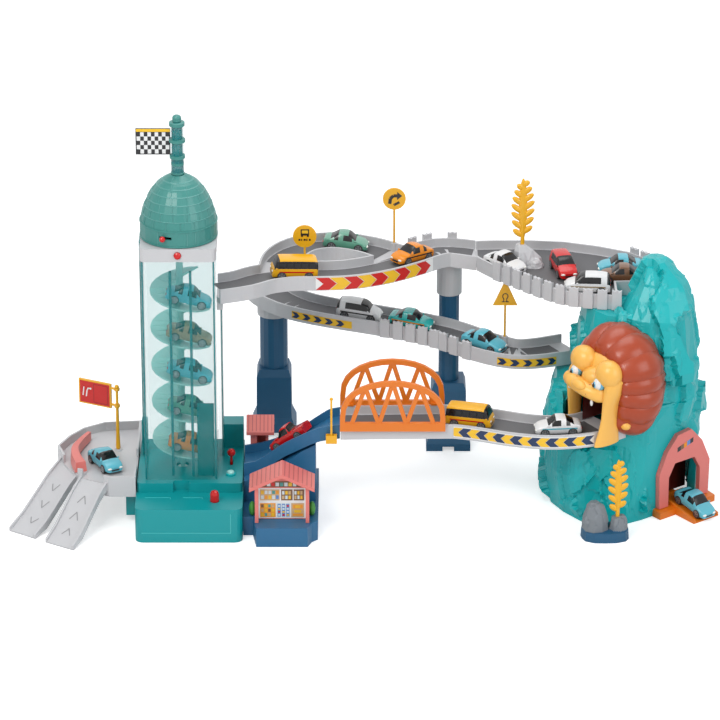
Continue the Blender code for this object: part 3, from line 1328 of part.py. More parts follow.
def tree(name, place, low, height, half, lobes, turn):
    """A flat yellow tree whose stem stands in a hole."""
    outline = leaf_outline(height, half, lobes)
    thick = 0.0011
    frame = Matrix.Translation(Vector((place[0], place[1], low))) @ Matrix.Rotation(math.radians(turn), 4, 'Z')
    shape = loft([[(x, -thick, z) for x, z in outline], [(x, thick, z) for x, z in outline]])
    return solid(name, placed(shape, frame), "yellow")


def plug_sign(name, place, low, disc_height, disc):
    """A road sign on a thin stem that plugs into a lane's boss."""
    x, y = place
    made = solid(name, stacked([(SIGN_PIN, low), (SIGN_PIN, disc_height - 0.004)], place, 8), "yellow",
                 smooth_angle=40)
    thick = 0.0009
    panel = loft([[(x + px, y - thick, disc_height + pz) for px, pz in disc],
                  [(x + px, y + thick, disc_height + pz) for px, pz in disc]])
    add(made, panel, "disc")
    return made


def round_disc(radius, sides=20):
    """A disc's outline."""
    return [(radius * math.cos(2 * math.pi * i / sides), radius * math.sin(2 * math.pi * i / sides))
            for i in range(sides)]


# Cars: each body is one loft of stations from tail to nose, with four wheels

CAR_PROFILES = {
    "saloon": ((0.00, 0.30, 0.62), (0.05, 0.46, 0.90), (0.20, 0.60, 1.00), (0.32, 0.92, 1.00),
               (0.42, 1.00, 1.00), (0.58, 0.98, 1.00), (0.74, 0.60, 1.00), (0.93, 0.48, 0.94), (1.00, 0.30, 0.70)),
    "van": ((0.00, 0.50, 0.80), (0.03, 0.95, 0.94), (0.12, 1.08, 1.00), (0.40, 1.12, 1.00),
            (0.68, 1.08, 1.00), (0.86, 0.66, 1.00), (0.97, 0.52, 0.92), (1.00, 0.34, 0.76)),
    "bus": ((0.00, 0.55, 0.86), (0.02, 1.08, 0.94), (0.08, 1.18, 1.00), (0.50, 1.20, 1.00),
            (0.84, 1.18, 1.00), (0.96, 0.80, 0.98), (1.00, 0.50, 0.84)),
    "pickup": ((0.00, 0.40, 0.78), (0.04, 0.62, 0.94), (0.34, 0.62, 1.00), (0.38, 1.00, 1.00),
               (0.56, 1.02, 1.00), (0.66, 0.66, 1.00), (0.94, 0.56, 0.94), (1.00, 0.34, 0.72)),
}

CARS = (
    ("car_deck_sky", "saloon", "sky", (-0.0780, -0.0060), -60, "deck"),
    ("car_bus_upper", "bus", "bus_yellow", (0.1120, 0.0600), 190, "upper"),
    ("car_green_loop", "saloon", "green", (0.1640, 0.1470), -6, "upper"),
    ("car_orange", "saloon", "orange", (0.2320, 0.1250), 221, "upper"),
    ("car_white_deck", "saloon", "white", (0.3265, 0.1165), -45, "castle"),
    ("car_red_van", "van", "red", (0.3860, 0.1060), -78, "castle"),
    ("car_parked_white", "van", "white", (0.4080, 0.0570), 176, "castle"),
    ("car_white_van", "van", "white", (0.1780, 0.1430), -12, "middle"),
    ("car_teal_sport", "saloon", "green", (0.2310, 0.1300), -16, "middle"),
    ("car_sky_coupe", "saloon", "sky", (0.3050, 0.0890), -32, "middle"),
    ("car_bus_lower", "bus", "bus_yellow", (0.2890, -0.0262), -16, "lower"),
    ("car_white_patrol", "saloon", "white", (0.3760, -0.0475), 184, "lower"),
    ("car_red_pickup", "pickup", "red", (0.1120, -0.0070), 196, "slope"),
    ("car_gate", "saloon", "sky", (0.5160, -0.0195), -51.9, "gate"),
)

LIFT_CAR_COLOURS = ("orange", "green", "sky", "sand", "sky")
LIFT_CAR_PLACE = (0.0080, -0.0180)
LIFT_CAR_FIRST = 0.065
LIFT_PLAY = 0.0007


def car_shape(kind):
    """A car on the ground at the origin, with its nose along +X."""
    axle = WHEEL_RADIUS
    sill = WHEEL_RADIUS * 0.62
    rings = []
    for share, rise, wide in CAR_PROFILES[kind]:
        x = (share - 0.5) * CAR_LENGTH
        top = sill + (CAR_HEIGHT - sill) * rise
        waist = sill + (CAR_HEIGHT * 0.62 - sill) * min(rise / 0.6, 1.0)
        half = CAR_WIDTH / 2 * wide
        roof = half * (0.72 if rise > 0.7 else 0.86)
        rings.append([(x, -half * 0.92, sill), (x, -half, waist * 0.75), (x, -half * 0.96, waist), (x, -roof, top),
                      (x, roof, top), (x, half * 0.96, waist), (x, half, waist * 0.75), (x, half * 0.92, sill)])
    body = loft(rings)
    wheels = []
    for x in (-WHEEL_PLACE * CAR_LENGTH, WHEEL_PLACE * CAR_LENGTH):
        for side in (-1, 1):
            inner = side * (CAR_WIDTH / 2 + 0.0004 - WHEEL_WIDTH)
            outer = side * (CAR_WIDTH / 2 + 0.0004)
            circle = [(x + WHEEL_RADIUS * math.cos(2 * math.pi * (i + 0.5) / 12),
                       axle + WHEEL_RADIUS * math.sin(2 * math.pi * (i + 0.5) / 12)) for i in range(12)]
            wheels.append(loft([[(px, inner, pz) for px, pz in circle], [(px, outer, pz) for px, pz in circle]]))
    return body, merged(wheels)


def car(name, kind, colour_name, matrix):
    """A toy car, placed by a matrix that puts its wheels on the road."""
    body, wheels = car_shape(kind)
    made = solid(name, placed(body, matrix), colour_name, matrix.translation, 30)
    add(made, placed(wheels, matrix), "wheels")
    return made


def road_under(place, level):
    """The road's height at a place on one level."""
    x = place[0]
    if level == "upper":
        return upper_z(x)
    if level == "middle":
        return middle_z(x)
    if level == "lower":
        return lower_z(x)
    if level == "castle":
        return DECK_ROAD_Z
    return TURN_ROAD_Z


def road_fall(level):
    """How steeply one level's road falls along +X."""
    return {"upper": UPPER_FALL, "middle": MIDDLE_FALL, "lower": LOWER_FALL}.get(level, 0.0)


def car_matrix(place, heading, level):
    """Stand a car on its level's road, pitched with the road."""
    angle = math.radians(heading)
    nose = Vector((math.cos(angle), math.sin(angle), -road_fall(level) * math.cos(angle))).normalized()
    if level == "slope":
        a = Vector(SLOPE_ROUTE[2])
        b = Vector(SLOPE_ROUTE[3])
        share = (place[0] - a.x) / (b.x - a.x)
        height = a.z + (b.z - a.z) * share + 0.0001
        nose = (a - b).normalized()
    elif level == "gate":
        height = 0.0055
        nose = (Vector((GATE_RIGHT[1], -GATE_RIGHT[0], -0.195))).normalized()
    else:
        height = road_under(place, level)
    left = Vector((0, 0, 1)).cross(nose).normalized()
    up = nose.cross(left)
    turn = Matrix((nose, left, up)).transposed().to_4x4()
    lift = 0.0006 if level in ("upper", "middle", "lower") else GAP
    return Matrix.Translation(Vector((place[0], place[1], height + lift))) @ turn


def lift_car_matrix(index):
    """Lay one lift car across the screw's blade, clear of it by the gap."""
    x, y = LIFT_CAR_PLACE
    half = CAR_LENGTH / 2
    reach = half * 0.96
    drop = screw_height(x - reach, y) - screw_height(x + reach, y)
    tilt = math.atan2(drop, 2 * reach)
    phase = SCREW_LEFT_START % SCREW_PITCH
    turns = round((LIFT_CAR_FIRST - phase) / SCREW_PITCH) + index
    base = phase + turns * SCREW_PITCH + SCREW_BLADE
    probes = []
    for step in range(-8, 9):
        for side in (-0.5, -0.25, 0.0, 0.25, 0.5):
            probes.append((half * step / 8, side * CAR_WIDTH, WHEEL_RADIUS * 0.62))
    for axle in (-WHEEL_PLACE * CAR_LENGTH, WHEEL_PLACE * CAR_LENGTH):
        for reach in (-0.8, -0.4, 0.0, 0.4, 0.8):
            rise = WHEEL_RADIUS * (1 - math.sqrt(1 - reach ** 2))
            for side in (-CAR_WIDTH / 2, -CAR_WIDTH / 2 + WHEEL_WIDTH, CAR_WIDTH / 2 - WHEEL_WIDTH, CAR_WIDTH / 2):
                probes.append((axle + WHEEL_RADIUS * reach, side, rise))
    lift = -1.0
    for along_x, side, rise in probes:
        if math.hypot(x + along_x, y + side) < SCREW_RADIUS + 0.0005:
            above = screw_height(x + along_x, y + side) - screw_height(x, y)
            lift = max(lift, above + math.tan(tilt) * along_x - rise)
    height = base + screw_height(x, y) + lift + GAP + LIFT_PLAY
    nose = Vector((math.cos(tilt), 0, -math.sin(tilt)))
    left = Vector((0, 1, 0))
    up = nose.cross(left)
    turn = Matrix((nose, left, up)).transposed().to_4x4()
    return Matrix.Translation(Vector((x, y, height))) @ turn


def cars():
    """Every car of the set."""
    for name, kind, colour_name, place, heading, level in CARS:
        car(name, kind, colour_name, car_matrix(place, heading, level))
    first = lift_car_matrix(0).translation.z
    room = SHELL_TOP - CAR_HEIGHT - SCREW_PITCH * CAR_LENGTH / 2 / (2 * math.pi * SCREW_RADIUS * 0.6) - first
    held = int(room / SCREW_PITCH) + 1
    for index, colour_name in enumerate(LIFT_CAR_COLOURS[:held]):
        car("lift_car_%d" % (index + 1), "saloon", colour_name, lift_car_matrix(index))


def build():
    """Make the whole set."""
    clear_scene()
    tower_base()
    base_floor()
    drive_unit()
    lift_shell()
    lift_screw()
    tower_cap()
    cap_button()
    dome()
    dome_knob()
    beacon_rod()
    flag()
    base_button()
    base_lever()
    turn_deck()
    diverter_lever()
    sign_post()
    lane_sign()
    upper_lane()
    middle_lane()
    lower_lane()
    castle_deck()
    column("column_left", LEFT_COLUMN, LEFT_COLUMN_RADIUS,
           middle_z(LEFT_COLUMN[0]) - ROAD_THICK - GAP)
    column("column_right", RIGHT_COLUMN, RIGHT_COLUMN_RADIUS,
           upper_z(RIGHT_COLUMN[0]) - ROAD_THICK - GAP)
    station()
    shop_house()
    booth()
    bridge_y = LOWER_ROUTE[-1][1]
    truss("bridge_front", bridge_y - LOWER_WIDTH / 2 - GAP, -1)
    truss("bridge_back", bridge_y + LOWER_WIDTH / 2 + GAP, 1)
    barrier_box()
    barrier_arm()
    mountain()
    lion_mane()
    lion_face()
    gate_arch()
    gate_ramp()
    shore_rock()
    tree("small_tree", SMALL_TREE_PLACE, 0.0130, 0.072, 0.0105, 6, 0)
    tree("big_tree", TREE_PLACE, DECK_ROAD_Z + 0.0125, 0.082, 0.0125, 7, 0)
    top_a = upper_z(SIGN_A_PLACE[0]) + WALL_HEIGHT
    plug_sign("sign_load", SIGN_A_PLACE, top_a - 0.0036, 0.2545, round_disc(0.0120))
    top_b = upper_z(SIGN_B_PLACE[0]) + WALL_HEIGHT
    plug_sign("sign_bend", SIGN_B_PLACE, top_b - 0.0036, 0.2750, round_disc(0.0118))
    top_c = middle_z(TRIANGLE_PLACE[0]) + WALL_HEIGHT
    plug_sign("sign_triangle", TRIANGLE_PLACE, top_c - 0.0026, 0.1865,
              [(-0.0125, -0.0085), (0.0125, -0.0085), (0.0013, 0.0165), (-0.0013, 0.0165)])
    cars()


build()
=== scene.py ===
import math

import bmesh
import bpy
from mathutils import Matrix, Vector, noise
from mathutils.bvhtree import BVHTree


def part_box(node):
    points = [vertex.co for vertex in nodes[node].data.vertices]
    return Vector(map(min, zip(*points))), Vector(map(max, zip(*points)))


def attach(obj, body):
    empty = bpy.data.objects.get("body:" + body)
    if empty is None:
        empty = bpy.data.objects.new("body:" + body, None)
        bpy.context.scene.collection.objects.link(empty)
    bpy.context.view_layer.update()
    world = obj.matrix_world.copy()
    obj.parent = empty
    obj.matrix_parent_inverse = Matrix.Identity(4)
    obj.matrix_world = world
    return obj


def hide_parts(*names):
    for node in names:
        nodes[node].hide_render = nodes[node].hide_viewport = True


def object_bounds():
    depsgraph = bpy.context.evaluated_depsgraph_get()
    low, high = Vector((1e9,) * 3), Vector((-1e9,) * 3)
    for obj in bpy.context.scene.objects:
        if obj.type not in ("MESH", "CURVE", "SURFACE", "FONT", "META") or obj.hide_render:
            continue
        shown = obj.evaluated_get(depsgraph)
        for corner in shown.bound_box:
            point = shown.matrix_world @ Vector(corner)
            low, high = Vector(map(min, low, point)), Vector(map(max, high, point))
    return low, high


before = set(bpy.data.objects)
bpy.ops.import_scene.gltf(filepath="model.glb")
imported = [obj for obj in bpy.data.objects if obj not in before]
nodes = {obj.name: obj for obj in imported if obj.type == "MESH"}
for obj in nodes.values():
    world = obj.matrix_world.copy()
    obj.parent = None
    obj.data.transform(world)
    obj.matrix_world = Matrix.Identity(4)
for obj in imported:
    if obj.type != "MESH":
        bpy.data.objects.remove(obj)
cad_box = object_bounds()

# Camera, as fitted to the photograph

CAMERA_PLACE = (0.179, -3.9892, 1.8952)
CAMERA_TILT = 66.5
CAMERA_LENS = 217.5

camera_data = bpy.data.cameras.new("camera")
camera = bpy.data.objects.new("camera", camera_data)
bpy.context.collection.objects.link(camera)
camera_data.lens = CAMERA_LENS
camera_data.sensor_width = 36.0
camera_data.clip_start = 0.05
camera.location = CAMERA_PLACE
camera.rotation_euler = (math.radians(CAMERA_TILT), 0.0, 0.0)
bpy.context.scene.camera = camera
bpy.context.scene.view_settings.view_transform = 'Standard'


# World and lights

def shader_node(tree, kind, **inputs):
    """A new node in a shader tree, with its input values."""
    made = tree.nodes.new("ShaderNode" + kind)
    for name, value in inputs.items():
        made.inputs[name.replace("_", " ")].default_value = value
    return made


def studio_world():
    """White to the camera, in reflections and behind clear parts, softer as a light."""
    world = bpy.data.worlds.new("studio")
    bpy.context.scene.world = world
    world.use_nodes = True
    tree = world.node_tree
    tree.nodes.clear()
    soft = shader_node(tree, "Background", Color=(0.93, 0.96, 1.0, 1.0), Strength=0.5)
    white = shader_node(tree, "Background", Color=(1.0, 1.0, 1.0, 1.0), Strength=1.0)
    ray = shader_node(tree, "LightPath")
    seen = ray.outputs["Is Camera Ray"]
    for kind in ("Is Glossy Ray", "Is Transmission Ray"):
        either = shader_node(tree, "Math")
        either.operation = 'ADD'
        either.use_clamp = True
        tree.links.new(seen, either.inputs[0])
        tree.links.new(ray.outputs[kind], either.inputs[1])
        seen = either.outputs[0]
    mix = shader_node(tree, "MixShader")
    for index, source in enumerate((seen, soft.outputs[0], white.outputs[0])):
        tree.links.new(source, mix.inputs[index])
    tree.links.new(mix.outputs[0], shader_node(tree, "OutputWorld").inputs[0])


def area_light(name, place, target, size, energy, colour):
    """A soft square light that looks at a place."""
    data = bpy.data.lights.new(name, 'AREA')
    data.shape = 'SQUARE'
    data.size = size
    data.energy = energy
    data.color = colour
    lamp = bpy.data.objects.new(name, data)
    lamp.location = place
    lamp.rotation_euler = (Vector(target) - Vector(place)).to_track_quat('-Z', 'Y').to_euler()
    bpy.context.collection.objects.link(lamp)


studio_world()
area_light("key", (-0.55, -1.1, 1.45), (0.18, 0.0, 0.12), 0.8, 15.0, (1.0, 0.98, 0.95))
area_light("fill", (1.2, -0.9, 0.8), (0.2, 0.0, 0.12), 0.9, 6.0, (0.96, 0.98, 1.0))
area_light("top", (0.2, 0.35, 1.5), (0.2, 0.0, 0.1), 1.0, 7.5, (1.0, 1.0, 1.0))


# Materials

FINE_GRAIN_SCALE = 900.0
SMOOTH_SCALE = 60.0
SMOOTH_BUMP = 0.02
BUMP_DEPTH = 0.0003
COAT_ROUGHNESS = 0.12


def paint(name, colour, rough, coat, alpha=1.0, grain=0.0, metal=0.0):
    """A moulded or painted surface, with a fine grain if wanted."""
    made = bpy.data.materials.new("look_" + name)
    made.use_nodes = True
    tree = made.node_tree
    inputs = tree.nodes["Principled BSDF"].inputs
    for socket, value in (("Base Color", (*colour, 1.0)), ("Roughness", rough), ("Metallic", metal),
                          ("Coat Weight", coat), ("Coat Roughness", COAT_ROUGHNESS), ("Alpha", alpha)):
        inputs[socket].default_value = value
    place = shader_node(tree, "TexCoord")
    speckle = shader_node(tree, "TexNoise", Scale=FINE_GRAIN_SCALE if grain else SMOOTH_SCALE, Detail=3.0)
    bump = shader_node(tree, "Bump", Strength=grain or SMOOTH_BUMP, Distance=BUMP_DEPTH)
    tree.links.new(place.outputs["Object"], speckle.inputs["Vector"])
    tree.links.new(speckle.outputs["Fac"], bump.inputs["Height"])
    tree.links.new(bump.outputs["Normal"], inputs["Normal"])
    return made


TEAL = paint("teal", (0.0, 0.41, 0.425), 0.34, 0.0, grain=0.05)
BASE_TEAL = paint("base_teal", (0.0, 0.3, 0.32), 0.34, 0.0, grain=0.05)
# Painted highlight: a lighter teal for the base's raised lines, where light catches their edges
TEAL_HIGHLIGHT = paint("teal_line", (0.06, 0.52, 0.52), 0.3, 0.2)
DOME = paint("dome", (0.045, 0.245, 0.22), 0.34, 0.15)
DOME_LINE = paint("dome_line", (0.085, 0.31, 0.285), 0.36, 0.15)
MINT = paint("mint", (0.5, 0.9, 0.85), 0.24, 0.2, alpha=0.8)
CLEAR = paint("clear", (0.004, 0.33, 0.33), 0.06, 0.15, alpha=0.15)
CLEAR_EDGE = paint("clear_edge", (0.006, 0.2, 0.215), 0.14, 0.2, alpha=0.74)
GREY = paint("grey", (0.56, 0.56, 0.575), 0.38, 0.1, grain=0.08)
ROAD = paint("road", (0.12, 0.12, 0.126), 0.55, 0.0, grain=0.15)
MARK = paint("mark", (0.3, 0.3, 0.31), 0.5, 0.0)
NAVY = paint("navy", (0.012, 0.092, 0.19), 0.42, 0.0, grain=0.08)
BLUE = paint("blue", (0.02, 0.135, 0.28), 0.4, 0.0, grain=0.08)
PINK = paint("pink", (0.74, 0.19, 0.165), 0.36, 0.05, grain=0.04)
PINK_LINE = paint("pink_line", (0.48, 0.11, 0.1), 0.4, 0.1)
ORANGE = paint("orange", (0.76, 0.185, 0.008), 0.36, 0.15, grain=0.06)
YELLOW = paint("yellow", (0.85, 0.43, 0.01), 0.34, 0.15)
RED = paint("red", (0.6, 0.005, 0.005), 0.24, 0.12)
WHITE = paint("white", (0.78, 0.78, 0.78), 0.28, 0.3)
BLACK = paint("black", (0.012, 0.012, 0.014), 0.28, 0.3)
LEAF = paint("leaf", (0.06, 0.3, 0.04), 0.5, 0.05)
ROCK = paint("rock_grey", (0.2, 0.22, 0.24), 0.6, 0.0, grain=0.2)
MANE = paint("mane", (0.37, 0.046, 0.009), 0.3, 0.1)
FACE = paint("face", (0.88, 0.47, 0.09), 0.32, 0.08)
# Painted shade: a near-black red for the hollows of the mouth and the gate, darker than their plastic
HOLLOW_SHADE = paint("mouth", (0.11, 0.01, 0.006), 0.34, 0.15)
EYE_BLUE = paint("eye_blue", (0.12, 0.42, 0.62), 0.2, 0.5)

# Cars
TYRE = paint("tyre", (0.018, 0.018, 0.019), 0.6, 0.0, grain=0.2)
RIM = paint("rim", (0.42, 0.43, 0.44), 0.25, 0.2, metal=0.7)
GLASS = paint("window", (0.004, 0.004, 0.005), 0.22, 0.0)
LAMP_WHITE = paint("lamp_white", (0.86, 0.86, 0.8), 0.15, 0.6)
LAMP_RED = paint("lamp_red", (0.55, 0.012, 0.01), 0.15, 0.6)
SKY = paint("sky", (0.11, 0.47, 0.58), 0.24, 0.15)
SAND = paint("sand", (0.33, 0.24, 0.13), 0.26, 0.4)
GREEN = paint("green", (0.11, 0.33, 0.23), 0.24, 0.45)
TEAL_CAR = paint("teal_car", (0.03, 0.47, 0.44), 0.22, 0.45)
BUS = paint("bus", (0.86, 0.43, 0.008), 0.26, 0.12)
CAR_ORANGE = paint("car_orange", (0.8, 0.25, 0.006), 0.24, 0.15)
CAR_RED = paint("car_red", (0.62, 0.006, 0.006), 0.22, 0.15)
CAR_BROWN = paint("car_brown", (0.18, 0.075, 0.03), 0.24, 0.45)

# Stickers and prints
STICKER_YELLOW = paint("sticker_yellow", (0.88, 0.52, 0.02), 0.4, 0.1)
STICKER_RED = paint("sticker_red", (0.6, 0.012, 0.01), 0.4, 0.1)
STICKER_NAVY = paint("sticker_navy", (0.01, 0.03, 0.095), 0.4, 0.1)
STICKER_WHITE = paint("sticker_white", (0.83, 0.83, 0.82), 0.4, 0.1)
SIGN_DARK = paint("sign_dark", (0.33, 0.008, 0.008), 0.4, 0.1)
PRINT_TAN = paint("print_tan", (0.62, 0.42, 0.22), 0.45, 0.05)
PRINT_BLUE = paint("print_blue", (0.12, 0.26, 0.56), 0.45, 0.05)
PRINT_PALE = paint("print_pale", (0.68, 0.76, 0.78), 0.45, 0.05)
PRINT_ORANGE = paint("print_orange", (0.85, 0.33, 0.03), 0.45, 0.05)
PRINT_BROWN = paint("print_brown", (0.2, 0.1, 0.05), 0.45, 0.05)
PRINT_GREEN = paint("print_green", (0.08, 0.34, 0.3), 0.45, 0.05)

NODE_LOOKS = (
    (BASE_TEAL, "tower_base"), (BLACK, "base_floor"), (WHITE, "drive_unit"), (CLEAR, "lift_shell"),
    (MINT, "lift_screw"), (CLEAR_EDGE, "beacon_rod"), (DOME, "dome"), (MANE, "lion_mane"), (BLUE, "station"),
    (GREY, "tower_cap turn_deck upper_lane middle_lane lower_lane castle_deck"),
    (RED, "cap_button dome_knob base_button base_lever"), (NAVY, "column_left column_right"),
    (PINK, "diverter_lever shop_house booth gate_arch"), (ORANGE, "bridge_front bridge_back gate_ramp"),
    (YELLOW, "sign_post barrier_box barrier_arm sign_load sign_bend sign_triangle lane_sign"),
)
for look, node_names in NODE_LOOKS:
    for node_name in node_names.split():
        for material_slot in nodes[node_name].material_slots:
            material_slot.material = look


def floor_look():
    """The floor's look: lit so that the camera sees white wherever no shadow falls."""
    made = paint("floor", (0.86, 0.86, 0.86), 0.8, 0.0)
    tree = made.node_tree
    glow = shader_node(tree, "Emission", Color=(1.0, 1.0, 1.0, 1.0), Strength=0.52)
    dark = shader_node(tree, "Emission", Strength=0.0)
    ray = shader_node(tree, "LightPath")
    camera_only = shader_node(tree, "MixShader")
    both = shader_node(tree, "AddShader")
    for source, target in ((ray.outputs["Is Camera Ray"], camera_only.inputs[0]),
                           (dark.outputs[0], camera_only.inputs[1]), (glow.outputs[0], camera_only.inputs[2]),
                           (tree.nodes["Principled BSDF"].outputs[0], both.inputs[0]),
                           (camera_only.outputs[0], both.inputs[1]),
                           (both.outputs[0], tree.nodes["Material Output"].inputs["Surface"])):
        tree.links.new(source, target)
    return made


# Shapes: points, faces and a material for each face

def oval(middle, across, up, sides):
    """Points round a middle, on an oval with two half axes."""
    points = []
    for i in range(sides):
        angle = 2 * math.pi * i / sides
        points.append(Vector(middle) + Vector(across) * math.cos(angle) + Vector(up) * math.sin(angle))
    return points


PLAIN = Matrix.Identity(4)
# A frame in which places are given in millimetres
MM = Matrix.Scale(0.001, 4)


class Shape:
    """A growing mesh whose faces each have a material. New points are given in the matrix's frame."""

    def __init__(self, matrix=PLAIN):
        self.matrix = matrix
        self.points = []
        self.faces = []
        self.looks = []

    def add(self, points, faces, look):
        """Add faces of one look, or of one look per face."""
        start = len(self.points)
        self.points.extend([self.matrix @ Vector(point) for point in points])
        for index, face in enumerate(faces):
            self.faces.append(tuple(start + i for i in face))
            self.looks.append(look[index] if isinstance(look, list) else look)

    def rings(self, rings, look, closed=True, caps=True):
        """Join rings of equal count."""
        count = len(rings[0])
        faces = []
        for level in range(len(rings) - 1):
            low = level * count
            for i in range(count if closed else count - 1):
                j = (i + 1) % count
                faces.append((low + i, low + j, low + count + j, low + count + i))
        if caps:
            faces.append(tuple(range(count))[::-1])
            faces.append(tuple((len(rings) - 1) * count + i for i in range(count)))
        self.add([point for ring in rings for point in ring], faces, look)

    def strip(self, rows, look):
        """Join rows of points to an open sheet."""
        self.rings(rows, look, closed=False, caps=False)

    def box(self, low, high, look):
        """A box between two corners."""
        x0, y0, z0 = low
        x1, y1, z1 = high
        self.rings([[(x0, y0, z), (x1, y0, z), (x1, y1, z), (x0, y1, z)] for z in (z0, z1)], look)

    def side_box(self, side, x, y, z, look):
        """A box on the left or right side, from pairs of places along each axis."""
        y0, y1 = sorted(side * place for place in y)
        self.box((x[0], y0, z[0]), (x[1], y1, z[1]), look)

    def stack(self, profile, centre, look, sides=16, caps=True):
        """Circles of (radius, height) round an upright axis."""
        rings = [oval((*centre, height), (radius, 0, 0), (0, radius, 0), sides) for radius, height in profile]
        self.rings(rings, look, caps=caps)

    def hoop(self, inner, outer, low, high, bevel, look, sides):
        """A bevelled ring round the Z axis."""
        profile = [(inner, low), (outer, low + bevel), (outer, high - bevel), (inner, high)]
        self.stack(profile, (0, 0), look, sides)

    def ball(self, centre, radii, look, sides=16, levels=9):
        """An ellipsoid."""
        x, y, z = centre
        rings = []
        for level in range(levels):
            tilt = math.pi * (level + 0.5) / levels - math.pi / 2
            rings.append(oval((x, y, z + radii[2] * math.sin(tilt)), (radii[0] * math.cos(tilt), 0, 0),
                              (0, radii[1] * math.cos(tilt), 0), sides))
        self.rings(rings, look)

    def plate(self, outline, look, y, out):
        """A thin plate of (x, z) points on a face that looks along Y, standing out from it."""
        self.rings([[(x, depth, z) for x, z in outline] for depth in sorted((y, y + out))], look)

    def bent_bar(self, points, width, look, y, out):
        """A line of short plates through (x, z) points."""
        for (x0, z0), (x1, z1) in zip(points, points[1:]):
            length = math.hypot(x1 - x0, z1 - z0)
            nx = -(z1 - z0) / length * width / 2
            nz = (x1 - x0) / length * width / 2
            self.plate([(x0 - nx, z0 - nz), (x1 - nx, z1 - nz), (x1 + nx, z1 + nz), (x0 + nx, z0 + nz)], look,
                       y, out)

    def make(self, name, body, slot, smooth=None, replaced=None):
        """Turn it into a piece that rides on a body."""
        mesh = bpy.data.meshes.new(name)
        mesh.from_pydata(self.points, [], self.faces)
        used = list(dict.fromkeys(self.looks))
        for look in used:
            mesh.materials.append(look)
        for polygon, look in zip(mesh.polygons, self.looks):
            polygon.material_index = used.index(look)
        work = bmesh.new()
        work.from_mesh(mesh)
        bmesh.ops.recalc_face_normals(work, faces=work.faces)
        work.to_mesh(mesh)
        work.free()
        if smooth:
            mesh.shade_smooth()
            mesh.set_sharp_from_angle(angle=math.radians(smooth))
        place_piece(name, mesh, body, replaced)


def place_piece(name, mesh, body, replaced):
    """An object for a mesh, put on its body, with the solid it replaces hidden."""
    piece = bpy.data.objects.new(name, mesh)
    bpy.context.collection.objects.link(piece)
    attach(piece, body)
    if replaced:
        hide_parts(replaced)


def rectangle(x0, z0, x1, z1):
    """A rectangle's outline."""
    return [(x0, z0), (x1, z0), (x1, z1), (x0, z1)]


def clamped(value):
    """The value, held between 0 and 1."""
    return min(1.0, max(0.0, value))


def facing(place, back):
    """The frame at a place whose Y axis points in a level direction."""
    back = Vector((*back, 0)).normalized()
    right = Vector((back.y, -back.x, 0))
    return Matrix.Translation(place) @ Matrix((right, back, (0, 0, 1))).transposed().to_4x4()


# Track: widths, routes and heights of the roads, with the values of the solids

GAP = 0.0003
LANE_WIDTH = 0.044
LOWER_WIDTH = 0.05
LANE_WALL = 0.0022
UPPER_FALL = 0.0773
MIDDLE_FALL = 0.08
LOWER_FALL = -0.012
DECK_ROAD_Z = 0.2109
TURN_ROAD_Z = 0.046
# Routes in millimetres
UPPER_ROUTE = ((30, 8.5), (60, 26), (82, 46), (110, 60), (138, 66), (168, 75), (199, 94), (228, 120),
               (250, 143), (271, 154), (308, 149.5))
LOOP_ROUTE = ((98, 60), (100, 85), (106, 108), (120, 130), (142, 144), (165, 147), (190, 140), (210, 127),
              (226, 117))
MIDDLE_ROUTE = ((78, 207), (92, 182), (115, 162), (150, 149), (203, 137), (245, 125), (275, 111), (305, 89),
                (335, 77), (362, 84), (396.5, 104))
LOWER_ROUTE = ((428, -26), (412, -38), (393, -45.5), (365, -48), (335, -41), (305, -28.5), (280, -20.5),
               (262, -19), (215, -19), (159.5, -19))
CURVE_STEPS = 3


def upper_z(x):
    """The upper road's height."""
    return 0.231 - UPPER_FALL * (x - 0.0373)


def middle_z(x):
    """The middle road's height."""
    return 0.152 - MIDDLE_FALL * (x - 0.095)


def lower_z(x):
    """The lower road's height."""
    return 0.102 - LOWER_FALL * (x - 0.41)


def level_path(route, height):
    """A lane's centre line: a smooth curve through its route at its road's height."""
    knots = [Vector((x / 1000, y / 1000, height(x / 1000))) for x, y in route]
    ends = [knots[0] * 2 - knots[1]] + knots + [knots[-1] * 2 - knots[-2]]
    curve = []
    for a, b, c, d in zip(ends, ends[1:], ends[2:], ends[3:]):
        for step in range(CURVE_STEPS):
            t = step / CURVE_STEPS
            curve.append(0.5 * ((2 * b) + (c - a) * t + (2 * a - 5 * b + 4 * c - d) * t ** 2
                                + (3 * b - a - 3 * c + d) * t ** 3))
    curve.append(knots[-1])
    return curve


def sideways(path, index):
    """The level direction to the left of a path."""
    run = path[min(index + 1, len(path) - 1)] - path[max(index - 1, 0)]
    return Vector((-run.y, run.x, 0)).normalized()


def along_line(line, distance):
    """The place and direction at a distance along a line."""
    for a, b in zip(line, line[1:]):
        step = (b - a).length
        if distance <= step or b is line[-1]:
            return a.lerp(b, distance / step), (b - a).normalized()
        distance -= step


def length_of(line):
    """A line's length."""
    return sum((b - a).length for a, b in zip(line, line[1:]))


# Cars

CAR_LENGTH = 0.046
CAR_WIDTH = 0.02
CAR_HEIGHT = 0.0185
CAR_HALF = CAR_WIDTH / 2
WHEEL_RADIUS = 0.0046
WHEEL_WIDTH = 0.0036
WHEEL_PLACE = 0.3
WHEEL_SIDES = 20
SILL = WHEEL_RADIUS * 0.62
CAR_SMOOTH = 35
CAR_STEPS = 3

